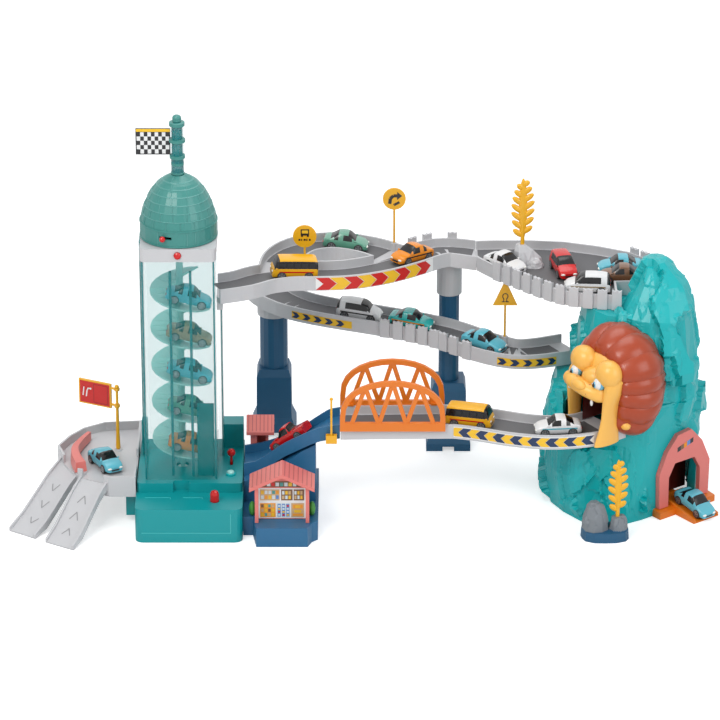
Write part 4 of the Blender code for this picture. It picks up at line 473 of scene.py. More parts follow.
# Each station: place along the car, belt height, roof height and width, in percent
CAR_STATIONS = {
    "saloon": ((0, 40, 44, 74), (3, 54, 60, 90), (9, 60, 66, 97), (17, 62, 69, 100), (25, 63, 82, 100),
               (34, 63, 96, 100), (45, 63, 100, 100), (56, 62, 98, 100), (65, 61, 84, 100),
               (73, 59, 66, 100), (84, 54, 60, 99), (94, 46, 51, 94), (100, 36, 40, 76)),
    "van": ((0, 54, 70, 86), (2, 60, 90, 94), (7, 64, 102, 99), (20, 66, 108, 100), (38, 66, 110, 100),
            (55, 66, 108, 100), (68, 65, 98, 100), (77, 63, 76, 100), (86, 58, 64, 98), (95, 50, 55, 93),
            (100, 38, 42, 80)),
    "bus": ((0, 58, 86, 90), (2, 64, 108, 96), (6, 66, 117, 100), (30, 66, 119, 100), (60, 66, 119, 100),
            (86, 66, 117, 100), (93, 64, 102, 99), (97, 60, 74, 97), (100, 48, 54, 90)),
    "pickup": ((0, 52, 56, 88), (3, 58, 62, 96), (33, 60, 64, 100), (37, 62, 97, 100), (46, 62, 102, 100),
               (56, 62, 98, 100), (65, 60, 72, 100), (78, 57, 62, 100), (93, 50, 55, 94), (100, 38, 42, 78)),
}

# Faces round a car's outline
OUTLINE_FACES = 14
SIDE_WINDOWS = (3, 9)
SCREENS = (4, 5, 6, 7, 8)
UNDERSIDE = 13


def eased(stations, level, step):
    """A station between two others, on a smooth curve through all of them."""
    last = len(stations) - 1
    before, a, b, after = (stations[max(0, min(last, level + offset))] for offset in (-1, 0, 1, 2))
    return [q + 0.5 * step * (r - p + step * (2 * p - 5 * q + 4 * r - s + step * (3 * (q - r) + s - p)))
            for p, q, r, s in zip(before, a, b, after)]


def car_outline(station, lean):
    """A car's outline at a station: up one side, over the roof and down the other side."""
    share, belt, roof, wide = station
    x = (share - 0.5) * CAR_LENGTH
    half = CAR_HALF * wide
    low = SILL + 0.0002
    belt_z = CAR_HEIGHT * belt
    roof_z = CAR_HEIGHT * roof
    flank = belt_z - low
    rise = roof_z - belt_z
    upper = 0.93 - (0.93 - lean) * min(rise / 0.003, 1.0)
    side = [(half * 0.86, low), (half * 0.97, low + flank * 0.22), (half, low + flank * 0.6),
            (half * 0.965, belt_z), (half * upper, belt_z + rise * 0.8),
            (half * (lean - 0.1), belt_z + rise * 0.97), (half * 0.36, roof_z + 0.0003)]
    return [(x, -y, z) for y, z in side] + [(x, y, z) for y, z in side[::-1]]


def car_looks(stations, bus, body_look):
    """The look of each face of a car's body: glass where the cabin stands up, black below."""
    looks = []
    for level, (a, b) in enumerate(zip(stations, stations[1:])):
        cabin_a = a[2] - a[1]
        cabin_b = b[2] - b[1]
        sloping = abs(a[2] - b[2]) > 0.1
        pillar = not bus and level % 3 == 2 and not sloping
        row = [body_look] * OUTLINE_FACES
        if min(cabin_a, cabin_b) > 0.1 and not pillar:
            for face in SIDE_WINDOWS:
                row[face] = GLASS
        if sloping and max(a[2], b[2]) > 0.8 and max(cabin_a, cabin_b) > 0.16:
            for face in SCREENS:
                row[face] = GLASS
        row[UNDERSIDE] = BLACK
        looks += row * CAR_STEPS
    return looks + [body_look, body_look]


def car_shape(kind, body_look, stripe_look, matrix):
    """A toy car with its windows, lamps, wheels and stripe."""
    shape = Shape(matrix)
    bus = kind == "bus"
    stations = [[value / 100 for value in station] for station in CAR_STATIONS[kind]]
    fine = [eased(stations, level, step / CAR_STEPS) for level in range(len(stations) - 1)
            for step in range(CAR_STEPS)]
    shape.rings([car_outline(station, 0.9 if bus else 0.8) for station in fine + [stations[-1]]],
                car_looks(stations, bus, body_look))
    for side in (-1, 1):
        lamp_y = side * CAR_HALF * 0.6
        shape.ball((CAR_LENGTH * 0.487, lamp_y, CAR_HEIGHT * stations[-1][1] * 1.02),
                   (0.0014, 0.0026, 0.0011), LAMP_WHITE, 8, 5)
        shape.ball((-CAR_LENGTH * 0.494, lamp_y, CAR_HEIGHT * stations[0][1] * 1.02),
                   (0.0009, 0.002, 0.0012), LAMP_RED, 8, 5)
        shape.ball((CAR_LENGTH * (0.42 if bus else 0.22), side * CAR_HALF * 0.98, CAR_HEIGHT * 0.66),
                   (0.0013, 0.001, 0.0008), body_look, 6, 4)
        if stripe_look:
            shape.side_box(side, (-CAR_LENGTH * 0.4, CAR_LENGTH * 0.36), (CAR_HALF * 0.99, CAR_HALF * 1.012),
                           (CAR_HEIGHT * 0.44, CAR_HEIGHT * 0.51), stripe_look)
        for window in range(5 if bus else 0):
            x = CAR_LENGTH * (0.165 * window - 0.42)
            shape.side_box(side, (x, x + CAR_LENGTH * 0.125), (CAR_HALF * 0.955, CAR_HALF * 1.004),
                           (CAR_HEIGHT * 0.72, CAR_HEIGHT * 1.0), GLASS)
        for axle in (-WHEEL_PLACE * CAR_LENGTH, WHEEL_PLACE * CAR_LENGTH):
            wheel(shape, axle, side)
    shape.box((CAR_LENGTH * 0.49, -CAR_HALF * 0.42, CAR_HEIGHT * 0.22),
              (CAR_LENGTH * 0.503, CAR_HALF * 0.42, CAR_HEIGHT * 0.32), BLACK)
    shape.box((-CAR_LENGTH * 0.45, -CAR_HALF * 0.8, SILL - 0.0002),
              (CAR_LENGTH * 0.46, CAR_HALF * 0.8, SILL + 0.0012), BLACK)
    return shape


def wheel(shape, axle, side):
    """A black tyre with a spoked grey rim."""
    outer = side * (CAR_HALF + 0.0004)
    rim = WHEEL_RADIUS * 0.7

    def circle(radius, out):
        """A circle round the axle, at a distance out from the wheel's outer face."""
        return oval((axle, outer + side * out, WHEEL_RADIUS), (radius, 0, 0), (0, 0, radius), WHEEL_SIDES)

    shape.rings([circle(WHEEL_RADIUS, -WHEEL_WIDTH), circle(WHEEL_RADIUS, -0.0005),
                 circle(WHEEL_RADIUS - 0.0004, 0.0), circle(rim, 0.0)], TYRE)
    spokes = [(i, (i + 1) % WHEEL_SIDES, WHEEL_SIDES + (i + 1) % WHEEL_SIDES, WHEEL_SIDES + i)
              for i in range(WHEEL_SIDES)]
    hub = tuple(range(WHEEL_SIDES, WHEEL_SIDES * 2))
    shape.add(circle(rim, 0.00004) + circle(WHEEL_RADIUS * 0.2, 0.00014), spokes + [hub],
              [RIM if i % 4 < 2 else BLACK for i in range(WHEEL_SIDES)] + [RIM])
    shape.rings([circle(WHEEL_RADIUS * 0.62, 0.00008), circle(WHEEL_RADIUS * 0.74, 0.00008)], RIM, caps=False)


def stand(place, nose, height):
    """The matrix that stands a car at a place with its nose in a direction."""
    nose = Vector(nose).normalized()
    left = Vector((0, 0, 1)).cross(nose).normalized()
    turn = Matrix((nose, left, nose.cross(left))).transposed().to_4x4()
    return Matrix.Translation((*place, height)) @ turn


# Each level: its road's height, how much it falls, and a car's lift over it
LEVELS = {"upper": (upper_z, UPPER_FALL, 0.0006), "middle": (middle_z, MIDDLE_FALL, 0.0006),
          "lower": (lower_z, LOWER_FALL, 0.0006), "castle": (lambda x: DECK_ROAD_Z, 0.0, GAP),
          "deck": (lambda x: TURN_ROAD_Z, 0.0, GAP)}


def road_car(place, heading, level):
    """The matrix of a car that stands on one level's road."""
    height, fall, lift = LEVELS[level]
    angle = math.radians(heading)
    return stand(place, (math.cos(angle), math.sin(angle), -fall * math.cos(angle)), height(place[0]) + lift)


def full_car(name, kind, look, stripe, matrix, slot):
    """A car in the place of its solid."""
    car_shape(kind, look, stripe, matrix).make(name + "_full", name, slot, CAR_SMOOTH, name)


# Each car: its node, kind, colour, stripe, place, heading, level and slot
CARS = (
    ("car_deck_sky", "saloon", SKY, None, (-0.078, -0.006), -60, "deck", "sky"),
    ("car_bus_upper", "bus", BUS, CAR_RED, (0.112, 0.06), 190, "upper", "bus_yellow"),
    ("car_green_loop", "saloon", GREEN, None, (0.164, 0.147), -6, "upper", "green"),
    ("car_orange", "saloon", CAR_ORANGE, BLACK, (0.232, 0.125), 221, "upper", "orange"),
    ("car_white_deck", "saloon", WHITE, None, (0.3265, 0.1165), -45, "castle", "white"),
    ("car_red_van", "van", CAR_RED, None, (0.386, 0.106), -78, "castle", "red"),
    ("car_parked_white", "van", WHITE, SAND, (0.408, 0.057), 176, "castle", "white"),
    ("car_white_van", "van", WHITE, BLACK, (0.178, 0.143), -12, "middle", "white"),
    ("car_teal_sport", "saloon", TEAL_CAR, CAR_ORANGE, (0.231, 0.13), -16, "middle", "green"),
    ("car_sky_coupe", "saloon", SKY, None, (0.305, 0.089), -32, "middle", "sky"),
    ("car_bus_lower", "bus", BUS, CAR_RED, (0.289, -0.0262), -16, "lower", "bus_yellow"),
    ("car_white_patrol", "saloon", WHITE, SKY, (0.376, -0.0475), 184, "lower", "white"),
)
for name, kind, look, stripe, place, heading, level, slot in CARS:
    full_car(name, kind, look, stripe, road_car(place, heading, level), slot)

# The pickup stands on the slope, between two places of the slope's route
SLOPE_LOW = Vector((0.098, -0.003, 0.0625))
SLOPE_HIGH = Vector((0.12, -0.012, 0.08))
PICKUP_PLACE = (0.112, -0.007)
share = (PICKUP_PLACE[0] - SLOPE_LOW.x) / (SLOPE_HIGH.x - SLOPE_LOW.x)
slope_z = SLOPE_LOW.z + (SLOPE_HIGH.z - SLOPE_LOW.z) * share
pickup = stand(PICKUP_PLACE, SLOPE_LOW - SLOPE_HIGH, slope_z + 0.0001 + GAP)
full_car("car_red_pickup", "pickup", CAR_RED, None, pickup, "red")
gate_car = stand((0.516, -0.0195), (0.617, -0.787, -0.195), 0.0055 + GAP)
full_car("car_gate", "saloon", SKY, None, gate_car, "sky")

# Two parked cars have no solid
for name, look, place, heading, slot in (
        ("car_parked_brown", CAR_BROWN, (0.444, 0.083), 178, "sand"),
        ("car_parked_blue", SKY, (0.444, 0.108), 182, "sky")):
    car_shape("saloon", look, None, road_car(place, heading, "castle")).make(name, "set", slot, CAR_SMOOTH)

# Roads: darker strips on the lanes, and chevrons on their outer walls

ROAD_MARGIN = 0.0016
ROAD_STEPS = 60
STICKER_GAP = 0.00022
BAND_SAMPLES = 260
BAND_STEP = 0.004
BAR_SHARE = 0.94
BAR_LIFT = 0.0003
BAR_CELLS = 4
BAR_ACROSS = 5

upper_path = level_path(UPPER_ROUTE, upper_z)
loop_path = level_path(LOOP_ROUTE, upper_z)
middle_path = level_path(MIDDLE_ROUTE, middle_z)
lower_path = level_path(LOWER_ROUTE, lower_z)


def road_strip(name, path, width, start, end, lift):
    """A thin darker strip along a lane's road, between two shares of its length."""
    shape = Shape()
    total = length_of(path)
    half = width / 2 - LANE_WALL - ROAD_MARGIN
    up = Vector((0, 0, lift))
    rows = []
    for step in range(ROAD_STEPS + 1):
        point, run = along_line(path, total * (start + (end - start) * step / ROAD_STEPS))
        side = Vector((-run.y, run.x, 0)).normalized() * half
        rows.append([point - side + up, point + side + up])
    shape.strip(rows, ROAD)
    shape.make(name, "set", "light_grey")


def sticker_band(name, path, side, width, span, low, high, looks, pitch, lean, border):
    """A band of chevrons on the outer wall of a lane, between two X places."""
    offset = side * (width / 2 + STICKER_GAP)
    wall = [point + sideways(path, index) * offset for index, point in enumerate(path)]
    total = length_of(wall)
    samples = [along_line(wall, total * i / BAND_SAMPLES)[0] for i in range(BAND_SAMPLES + 1)]
    samples = [point for point in samples if span[0] <= point.x <= span[1]]
    length = length_of(samples)

    def spot(distance, height, out=0.0):
        """A point on the wall, at a distance along the band and a height from the road."""
        point, run = along_line(samples, max(0.0, min(length, distance)))
        outward = Vector((run.y, -run.x, 0)).normalized()
        if outward.y > 0:
            outward = -outward
        return point + outward * out + Vector((0, 0, height))

    shape = Shape()
    steps = max(8, int(length / BAND_STEP))
    shape.strip([[spot(length * i / steps, low), spot(length * i / steps, high)] for i in range(steps + 1)],
                looks[0])
    # Each chevron is two leaning bars that meet at mid height
    middle = (low + high) / 2
    place = 0.0
    number = 0
    while place + lean + pitch * 0.5 < length:
        tip = place + lean
        for a_z, b_z, a_d, b_d in ((low + border, middle, place, tip), (middle, high - border, tip, place)):
            rows = []
            for cell in range(BAR_CELLS + 1):
                share = cell / BAR_CELLS
                start = a_d + (b_d - a_d) * share
                z = a_z + (b_z - a_z) * share
                rows.append([spot(start + pitch * BAR_SHARE * i / BAR_ACROSS, z, BAR_LIFT)
                             for i in range(BAR_ACROSS + 1)])
            shape.strip(rows, looks[1 + number % 2])
        place += pitch
        number += 1
    shape.make(name, "set", "yellow")


for name, path, width, start, end, lift in (
        ("upper_road", upper_path, LANE_WIDTH, 0.035, 0.955, 0.00012),
        ("loop_road", loop_path, LANE_WIDTH, 0.18, 0.84, 0.00016),
        ("middle_road", middle_path, LANE_WIDTH, 0.01, 0.955, 0.00012),
        ("lower_road", lower_path, LOWER_WIDTH, 0.06, 0.99, 0.00012)):
    road_strip(name, path, width, start, end, lift)

PALE_AND_RED = (STICKER_WHITE, STICKER_RED, STICKER_YELLOW)
YELLOW_AND_NAVY = (STICKER_YELLOW, STICKER_NAVY, STICKER_YELLOW)
PALE_AND_NAVY = (STICKER_WHITE, STICKER_NAVY, STICKER_YELLOW)
sticker_band("upper_chevrons", upper_path, -1, LANE_WIDTH, (0.134, 0.254), -0.0055, 0.0085, PALE_AND_RED,
             0.0146, 0.0078, 0.0004)
sticker_band("middle_chevrons_left", middle_path, -1, LANE_WIDTH, (0.108, 0.172), -0.003, 0.005,
             YELLOW_AND_NAVY, 0.006, 0.0036, 0.0008)
sticker_band("middle_chevrons_right", middle_path, -1, LANE_WIDTH, (0.318, 0.38), -0.0035, 0.005,
             YELLOW_AND_NAVY, 0.0066, 0.0038, 0.0008)
sticker_band("lower_chevrons", lower_path, 1, LOWER_WIDTH, (0.272, 0.412), -0.004, 0.0075, PALE_AND_NAVY,
             0.009, 0.005, 0.001)

# Lift cars, laid on the screw's blade

SCREW_PITCH = 0.04
LIFT_PLACE = (0.008, -0.018)
LIFT_REACH = CAR_LENGTH / 2 * 0.96


def screw_height(x, y):
    """The blade's height round the axis."""
    return -SCREW_PITCH * math.atan2(y, x) / (2 * math.pi)


lift_drop = (screw_height(LIFT_PLACE[0] - LIFT_REACH, LIFT_PLACE[1])
             - screw_height(LIFT_PLACE[0] + LIFT_REACH, LIFT_PLACE[1]))
lift_tilt = math.atan2(lift_drop, 2 * LIFT_REACH)
lift_nose = (math.cos(lift_tilt), 0, -math.sin(lift_tilt))
lift_rise = WHEEL_PLACE * CAR_LENGTH * math.sin(lift_tilt) + WHEEL_RADIUS * (1 - math.cos(lift_tilt))
for number, (look, slot) in enumerate(((CAR_ORANGE, "orange"), (GREEN, "green"), (SKY, "sky"), (SAND, "sand"),
                                       (SKY, "sky")), 1):
    name = "lift_car_%d" % number
    full_car(name, "saloon", look, None, stand(LIFT_PLACE, lift_nose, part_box(name)[0][2] + lift_rise), slot)

# Tower, in millimetres up to the flag: edges and rails of the clear shell, ribbed block, base's lens

SHELL_HALF = 36.25
SHELL_FRONT = -38
SHELL_TOP = 282
BASE_TOP = 46
DOOR_TOP = 213.5
LENS_PLACE = (49, -24)

rails = Shape(MM)
for x in (-8, 12):
    rails.box((x - 1.3, SHELL_FRONT + 1.4, BASE_TOP + 4),
              (x + 1.3, SHELL_FRONT + 6.2, SHELL_TOP - 12), CLEAR_EDGE)
for x in (-SHELL_HALF + 0.3, SHELL_HALF - 2.1):
    rails.box((x, SHELL_FRONT + 0.2, BASE_TOP + 1),
              (x + 1.8, SHELL_FRONT + 1.8, SHELL_TOP - 0.5), CLEAR_EDGE)
for x, top in ((-SHELL_HALF - 4.5, SHELL_TOP - 1), (SHELL_HALF + 3.2, DOOR_TOP)):
    rails.box((x, 19, BASE_TOP + 2), (x + 1.4, 36.5, top), CLEAR_EDGE)
rails.make("shell_edges", "set", "clear_teal")

block = Shape(MM)
block.box((16.5, -34, BASE_TOP + 3), (33.5, -33, 128), CLEAR_EDGE)
for rib in range(5):
    x = 17.2 + rib * 3.3
    block.box((x, -34.8, BASE_TOP + 3), (x + 1.8, -33.6, 128.5), CLEAR_EDGE)
block.make("shell_ribs", "set", "clear_teal")

lens = Shape(MM)
lens.stack([(5.2, BASE_TOP - 0.6), (5.2, BASE_TOP + 1.2), (4.4, BASE_TOP + 1.8)], LENS_PLACE, TEAL, 20)
lens.stack([(3.8, BASE_TOP + 1.2), (3.6, BASE_TOP + 3), (2.2, BASE_TOP + 4)], LENS_PLACE, MINT, 20)
lens.make("base_lens", "set", "mint", 40)

# Dome: brick courses as fine raised lines

DOME_LOW = SHELL_TOP + 14.1
DOME_RADIUS = SHELL_HALF + 2
DOME_BAND = 18
DOME_HEIGHT = 64
DOME_CURVE = ((0.0, 0.985), (0.2, 0.93), (0.35, 0.87), (0.5, 0.79), (0.65, 0.69), (0.75, 0.6), (0.85, 0.48),
              (0.93, 0.34), (1.0, 0.2))
COURSE_SHARES = (0.17, 0.34, 0.5, 0.655, 0.79, 0.9)
COURSE_JOINTS = (16, 16, 14, 12, 10, 8, 6)
LINE_RISE = 0.42
LINE_HALF = 0.3
BAND_LINES = (-120, -75, -62, -30, 15, 60, 105, 150, 195)


def dome_radius(share):
    """The dome's radius at a share of the height above its band."""
    for (s0, r0), (s1, r1) in zip(DOME_CURVE, DOME_CURVE[1:]):
        if share <= s1:
            return DOME_RADIUS * (r0 + (r1 - r0) * (share - s0) / (s1 - s0))


def dome_height(share):
    """The height at a share above the band."""
    return DOME_LOW + DOME_BAND + (DOME_HEIGHT - DOME_BAND) * share


courses = Shape(MM)
for share in COURSE_SHARES:
    courses.stack([(dome_radius(share + step) + out, dome_height(share + step))
                   for step, out in ((-0.01, 0.05), (0.0, LINE_RISE), (0.01, 0.05))],
                  (0, 0), DOME_LINE, 48)
edges = (0.0,) + COURSE_SHARES + (0.985,)
for course, (low, high, joints) in enumerate(zip(edges, edges[1:], COURSE_JOINTS)):
    for joint in range(joints):
        angle = 2 * math.pi * (joint + 0.5 * (course % 2)) / joints + 0.09
        rows = []
        for step in range(4):
            share = low + (high - low) * step / 3
            radius = dome_radius(share)
            row = []
            for turn, out in ((-LINE_HALF, 0.0), (0.0, LINE_RISE), (LINE_HALF, 0.0)):
                bend = angle + turn / max(radius, 6)
                reach = radius + out
                row.append((reach * math.cos(bend), reach * math.sin(bend), dome_height(share)))
            rows.append(row)
        courses.strip(rows, DOME_LINE)
courses.make("dome_courses", "set", "dome_green")

band = Shape(MM)
for z in (DOME_LOW + 1.2, DOME_LOW + DOME_BAND - 1.4):
    band.hoop(DOME_RADIUS - 0.3, DOME_RADIUS + 0.5, z - 0.9, z + 0.9, 0.3, DOME, 64)
for degrees in BAND_LINES:
    band.matrix = Matrix.Rotation(math.radians(degrees), 4, 'Z') @ MM
    band.box((DOME_RADIUS - 0.6, -0.4, DOME_LOW + 2.2),
             (DOME_RADIUS + 0.25, 0.4, DOME_LOW + DOME_BAND - 2.6), DOME_LINE)
band.make("dome_band", "set", "dome_green", 40)

# Beacon rod: darker rings on the clear rod

ROD_LOW = DOME_LOW + DOME_HEIGHT + 0.3
rod = Shape(MM)
for low, high, radius in ((0.0, 2.2, 6.6), (9.2, 12.2, 6.4), (16.4, 19.8, 7.7),
                          (50, 54, 7.7), (54.5, 59.2, 4.4)):
    rod.hoop(radius - 0.6, radius, ROD_LOW + low - 0.1, ROD_LOW + high + 0.1, 0.4, DOME, 24)
rod.ball((0, 0, ROD_LOW + 59), (4.2, 4.2, 2.2), DOME, 20, 7)
rod.make("rod_rings", "set", "clear_teal", 40)

# Flag: a chequered panel under a yellow bar, on a clear collar

FLAG_LOW = ROD_LOW + 19.5 + 0.6
FLAG_HEIGHT = 27
FLAG_TOP = FLAG_LOW + FLAG_HEIGHT
FLAG_LENGTH = 34
FLAG_HALF = 0.8
FLAG_EDGE = 1.1
FLAG_ROWS = 5
FLAG_COLUMNS = 9
COLLAR_INNER = 6.2 * 0.86 + 0.3
COLLAR_OUTER = COLLAR_INNER + 1.6
flag_right = -COLLAR_INNER - 1
flag_left = flag_right - FLAG_LENGTH
width = (FLAG_LENGTH - 2 * FLAG_EDGE) / FLAG_COLUMNS
height = (FLAG_HEIGHT - 4.8) / FLAG_ROWS

flag = Shape(MM)
collar = [(COLLAR_INNER, FLAG_LOW), (COLLAR_OUTER, FLAG_LOW), (COLLAR_OUTER, FLAG_TOP),
          (COLLAR_INNER, FLAG_TOP)]
flag.stack(collar + collar[:1], (0, 0), CLEAR, 24, caps=False)
flag.box((flag_left, -FLAG_HALF, FLAG_LOW), (flag_right, FLAG_HALF, FLAG_TOP), BLACK)
for side in (-1, 1):
    for row in range(FLAG_ROWS):
        for column in range(FLAG_COLUMNS):
            if (row + column) % 2:
                x = flag_left + FLAG_EDGE + column * width
                z = FLAG_LOW + FLAG_EDGE + row * height
                flag.side_box(side, (x, x + width), (FLAG_HALF, 0.92), (z, z + height), WHITE)
    flag.side_box(side, (flag_left + 0.4, flag_right), (FLAG_HALF, 1.1),
                  (FLAG_TOP - 3.2, FLAG_TOP - 0.3), STICKER_YELLOW)
flag.hoop(COLLAR_INNER + 1.4, COLLAR_INNER + 2.4, FLAG_LOW + 13, FLAG_LOW + 16.6, 0.4, DOME, 24)
flag.make("flag_full", "flag", "black_white", replaced="flag")


# Rock: the solid's own faces, split fine and broken into crags

LION_PLACE = Vector((0.4206, -0.0312, 0.148))
GATE_MIDDLE = Vector((0.503, -0.003, 0.04))
MERGE_DISTANCE = 0.00005
SPLIT_ROUNDS = 7
RAY_START = 0.0005
RAY_REACH = 0.4


def facet(place, cell, stretch):
    """How far the tall Voronoi cell at a place stands out, 0 to 1: a plane with its own tilt."""
    spot = Vector((place.x / cell, place.y / cell, place.z / (cell * stretch)))
    centre = noise.voronoi(spot)[1][0]
    tilt = noise.cell_vector(centre * 5.17 + Vector((0.3, 0.9, 2.1))) - Vector((0.5, 0.5, 0.5))
    step = round(3.0 * noise.cell(centre * 7.31 + Vector((3.1, 1.7, 0.4)))) / 3.0
    return max(0.0, min(1.15, step + 0.55 * tilt.dot(spot - centre)))


def crags(work, cell, depth, allowed):
    """Set each Voronoi cell of a mesh's outer skin out by its own amount."""
    tree = BVHTree.FromBMesh(work)
    moves = []
    for vertex in work.verts:
        place = vertex.co
        amount = allowed(place)
        normal = vertex.normal
        if amount > 0.0 and tree.ray_cast(place + normal * RAY_START, normal, RAY_REACH)[0] is None:
            out = depth * (0.86 * facet(place, cell, 2.0) + 0.14 * facet(place, cell * 0.45, 3.0))
            moves.append((vertex, normal * out * amount))
    for vertex, move in moves:
        vertex.co += move


def rocky(name, node_name, size, cell, depth, allowed, looks):
    """A craggy copy of a solid, whose looks each start at a height."""
    mesh = nodes[node_name].data.copy()
    mesh.name = name
    work = bmesh.new()
    work.from_mesh(mesh)
    bmesh.ops.remove_doubles(work, verts=work.verts, dist=MERGE_DISTANCE)
    bmesh.ops.triangulate(work, faces=work.faces)
    for turn in range(SPLIT_ROUNDS):
        long_edges = [edge for edge in work.edges if edge.calc_length() > size]
        if not long_edges:
            break
        bmesh.ops.subdivide_edges(work, edges=long_edges, cuts=1)
        bmesh.ops.triangulate(work, faces=work.faces)
    work.normal_update()
    crags(work, cell, depth, allowed)
    work.to_mesh(mesh)
    work.free()
    mesh.materials.clear()
    for look, low in looks:
        mesh.materials.append(look)
    for polygon in mesh.polygons:
        polygon.material_index = max(i for i, (look, low) in enumerate(looks) if polygon.center.z >= low)
        polygon.use_smooth = False
    place_piece(name, mesh, "set", node_name)


def mountain_share(place):
    """How far the crags may stand out at a place, 0 where other pieces meet the rock."""
    by_roads = ((place.z > 0.185 and (place.x < 0.436 or place.y > 0.06))
                or (0.08 < place.z < 0.11 and place.x < 0.435 and place.y < 0.01))
    if by_roads:
        return 0.0
    share = clamped((place.z - 0.003) / 0.01)
    share *= clamped(((place - LION_PLACE).length - 0.05) / 0.01)
    share *= clamped(((place - GATE_MIDDLE).length - 0.046) / 0.012)
    if place.x < 0.44 and place.z < 0.15 and place.y > 0.05:
        share *= clamped(abs(place.z - 0.122) / 0.01 - 0.6)
    return share


def shore_share(place):
    """How far the small rock's crags may stand out at a place."""
    return clamped((place.z - 0.012) / 0.006)


rocky("mountain_crags", "mountain", 0.0048, 0.023, 0.01, mountain_share, [(TEAL, -1.0)])
rocky("shore_crags", "shore_rock", 0.0028, 0.0085, 0.0022, shore_share, [(NAVY, -1.0), (ROCK, 0.0105)])

# Lion, in millimetres: lobes over the mane, a smooth face and the mouth's lining, dark with painted shade

MANE_MIDDLE = 2
LOBES = ((30, -37, 1.1), (40, -21, 1.05), (43, -5, 0.85), (42, 10, 0.85), (37, 28, 1.2), (23.5, 42, 1.2),
         (4, 48, 1.2), (-16, 44, 1.15), (-31, 29, 1.1), (-38.5, 9, 1.05), (-38, -12, 1.0))
LOBE_STEPS = 14
LOBE_THICK = 12
LOBE_WIDE = 15
lion = facing(LION_PLACE, (0.79, 0.61)) @ MM

mane = Shape(lion)
for right, up, size in LOBES:
    out = Vector((right, 0, up - MANE_MIDDLE)).normalized()
    around = Vector((-out.z, 0, out.x))
    rings = []
    for step in range(LOBE_STEPS + 1):
        share = step / LOBE_STEPS
        swell = max(0.02, math.sin(math.pi * clamped(share * 0.9 + 0.085)) ** 0.5)
        bulge = 0.8 + 0.24 * math.sin(math.pi * min(1.0, share * 1.05 + 0.02)) - 0.1 * share
        middle = (right * bulge, -7 + 62 * share, MANE_MIDDLE + (up - MANE_MIDDLE) * bulge)
        rings.append(oval(middle, out * LOBE_THICK * swell, around * LOBE_WIDE * size * swell, 18))
    mane.rings(rings, MANE)
mane.make("mane_lobes", "set", "mane", 70)

# Cheeks: middle, half width and half depth of each level, from the top down
CHEEKS = (((28.5, -8, 26, 4, 5), (29, -9.5, 16, 8.5, 10.5), (29, -11, 4, 7.5, 12), (27.5, -12, -8, 5.2, 11.5),
           (26.8, -13, -22, 4.2, 11), (26.8, -15, -36, 4.2, 12.5), (27.2, -17, -46, 4.8, 15),
           (27.6, -17.5, -50, 5, 15.5)),
          ((-27, -6, 24, 4, 5), (-29, -9, 12, 6, 9), (-30, -11, 0, 4.2, 10.5), (-30, -11, -16, 3.4, 9),
           (-30, -10.5, -33, 3.4, 8), (-30, -10.5, -50, 3.6, 8)))
# Muzzle: middle and radius of each ring, from one side to the other
MUZZLE = ((-21.5, -26, 8.5, 5), (-19, -27.5, 8.2, 7.2), (-12, -28, 7, 8), (-3, -28, 5.8, 8.4),
          (6, -27.5, 4.6, 8.4), (14, -25.5, 3, 8.2), (21, -22, 1, 8), (26, -17, 0, 7))

face = Shape(lion)
for middle, radii, sides, levels in (
        ((3, -5, 16), (32.5, 12, 20), 28, 15),
        ((-14, -13, 26.2), (15.5, 12.5, 14), 30, 17),
        ((23.5, -13, 22.2), (15, 12.5, 14.5), 30, 17),
        ((4.5, -15, 14), (14, 12, 10.5), 28, 15),
        ((-20.5, -26.5, 8.4), (5.2, 6.8, 6.6), 20, 11),
        ((1, -33, 9), (10, 5, 5.2), 24, 11),
        ((34.5, 1, -33), (6, 5, 4.6), 14, 7)):
    face.ball(middle, radii, FACE, sides, levels)
face.rings([oval(middle, (0, radius, 0), (0, 0, radius * 0.92), 20) for *middle, radius in MUZZLE], FACE)
for cheek in CHEEKS:
    face.rings([oval(middle, (wide, 0, 0), (0, deep, 0), 24) for *middle, wide, deep in cheek], FACE)
face.make("lion_skin", "set", "face", 60, "lion_face")

eyes = Shape(lion)
for right, up in ((-15, 15.8), (19.2, 12.8)):
    eyes.ball((right, -21.2, up), (6.6, 5.2, 7), EYE_BLUE, 22, 9)
    eyes.ball((right, -22.2, up + 0.2), (5.8, 5.2, 6.2), WHITE, 22, 9)
    eyes.ball((right - 1.4, -26.6, up - 0.2), (2.6, 1.8, 3.4), EYE_BLUE, 16, 7)
    eyes.ball((right - 1.6, -27.5, up - 0.2), (2, 1.4, 2.7), BLACK, 12, 7)
    eyes.ball((right - 2.4, -28.7, up + 1.4), (0.7, 0.4, 0.8), WHITE, 8, 5)
for step in range(13):
    share = step / 12
    eyes.ball((-7.5 + 19 * share, -30.5 + 7.5 * abs(share - 0.45) ** 1.5,
               13.8 - 3 * share - 1.2 * math.sin(share * math.pi)), (1, 0.7, 0.5), MANE, 8, 5)
for right in (8, 10.5, 13, -10.5, -13):
    eyes.ball((right, -35.2 + abs(right) * 0.1, 3 if right > 0 else 6.2), (0.5, 0.4, 0.5), MANE, 6, 5)
for right, up in ((-19, 0), (15, -7.5)):
    eyes.ball((right, -27.5, up), (1.8, 1.4, 3.4), WHITE, 10, 7)
eyes.make("lion_eyes", "set", "white", 60)

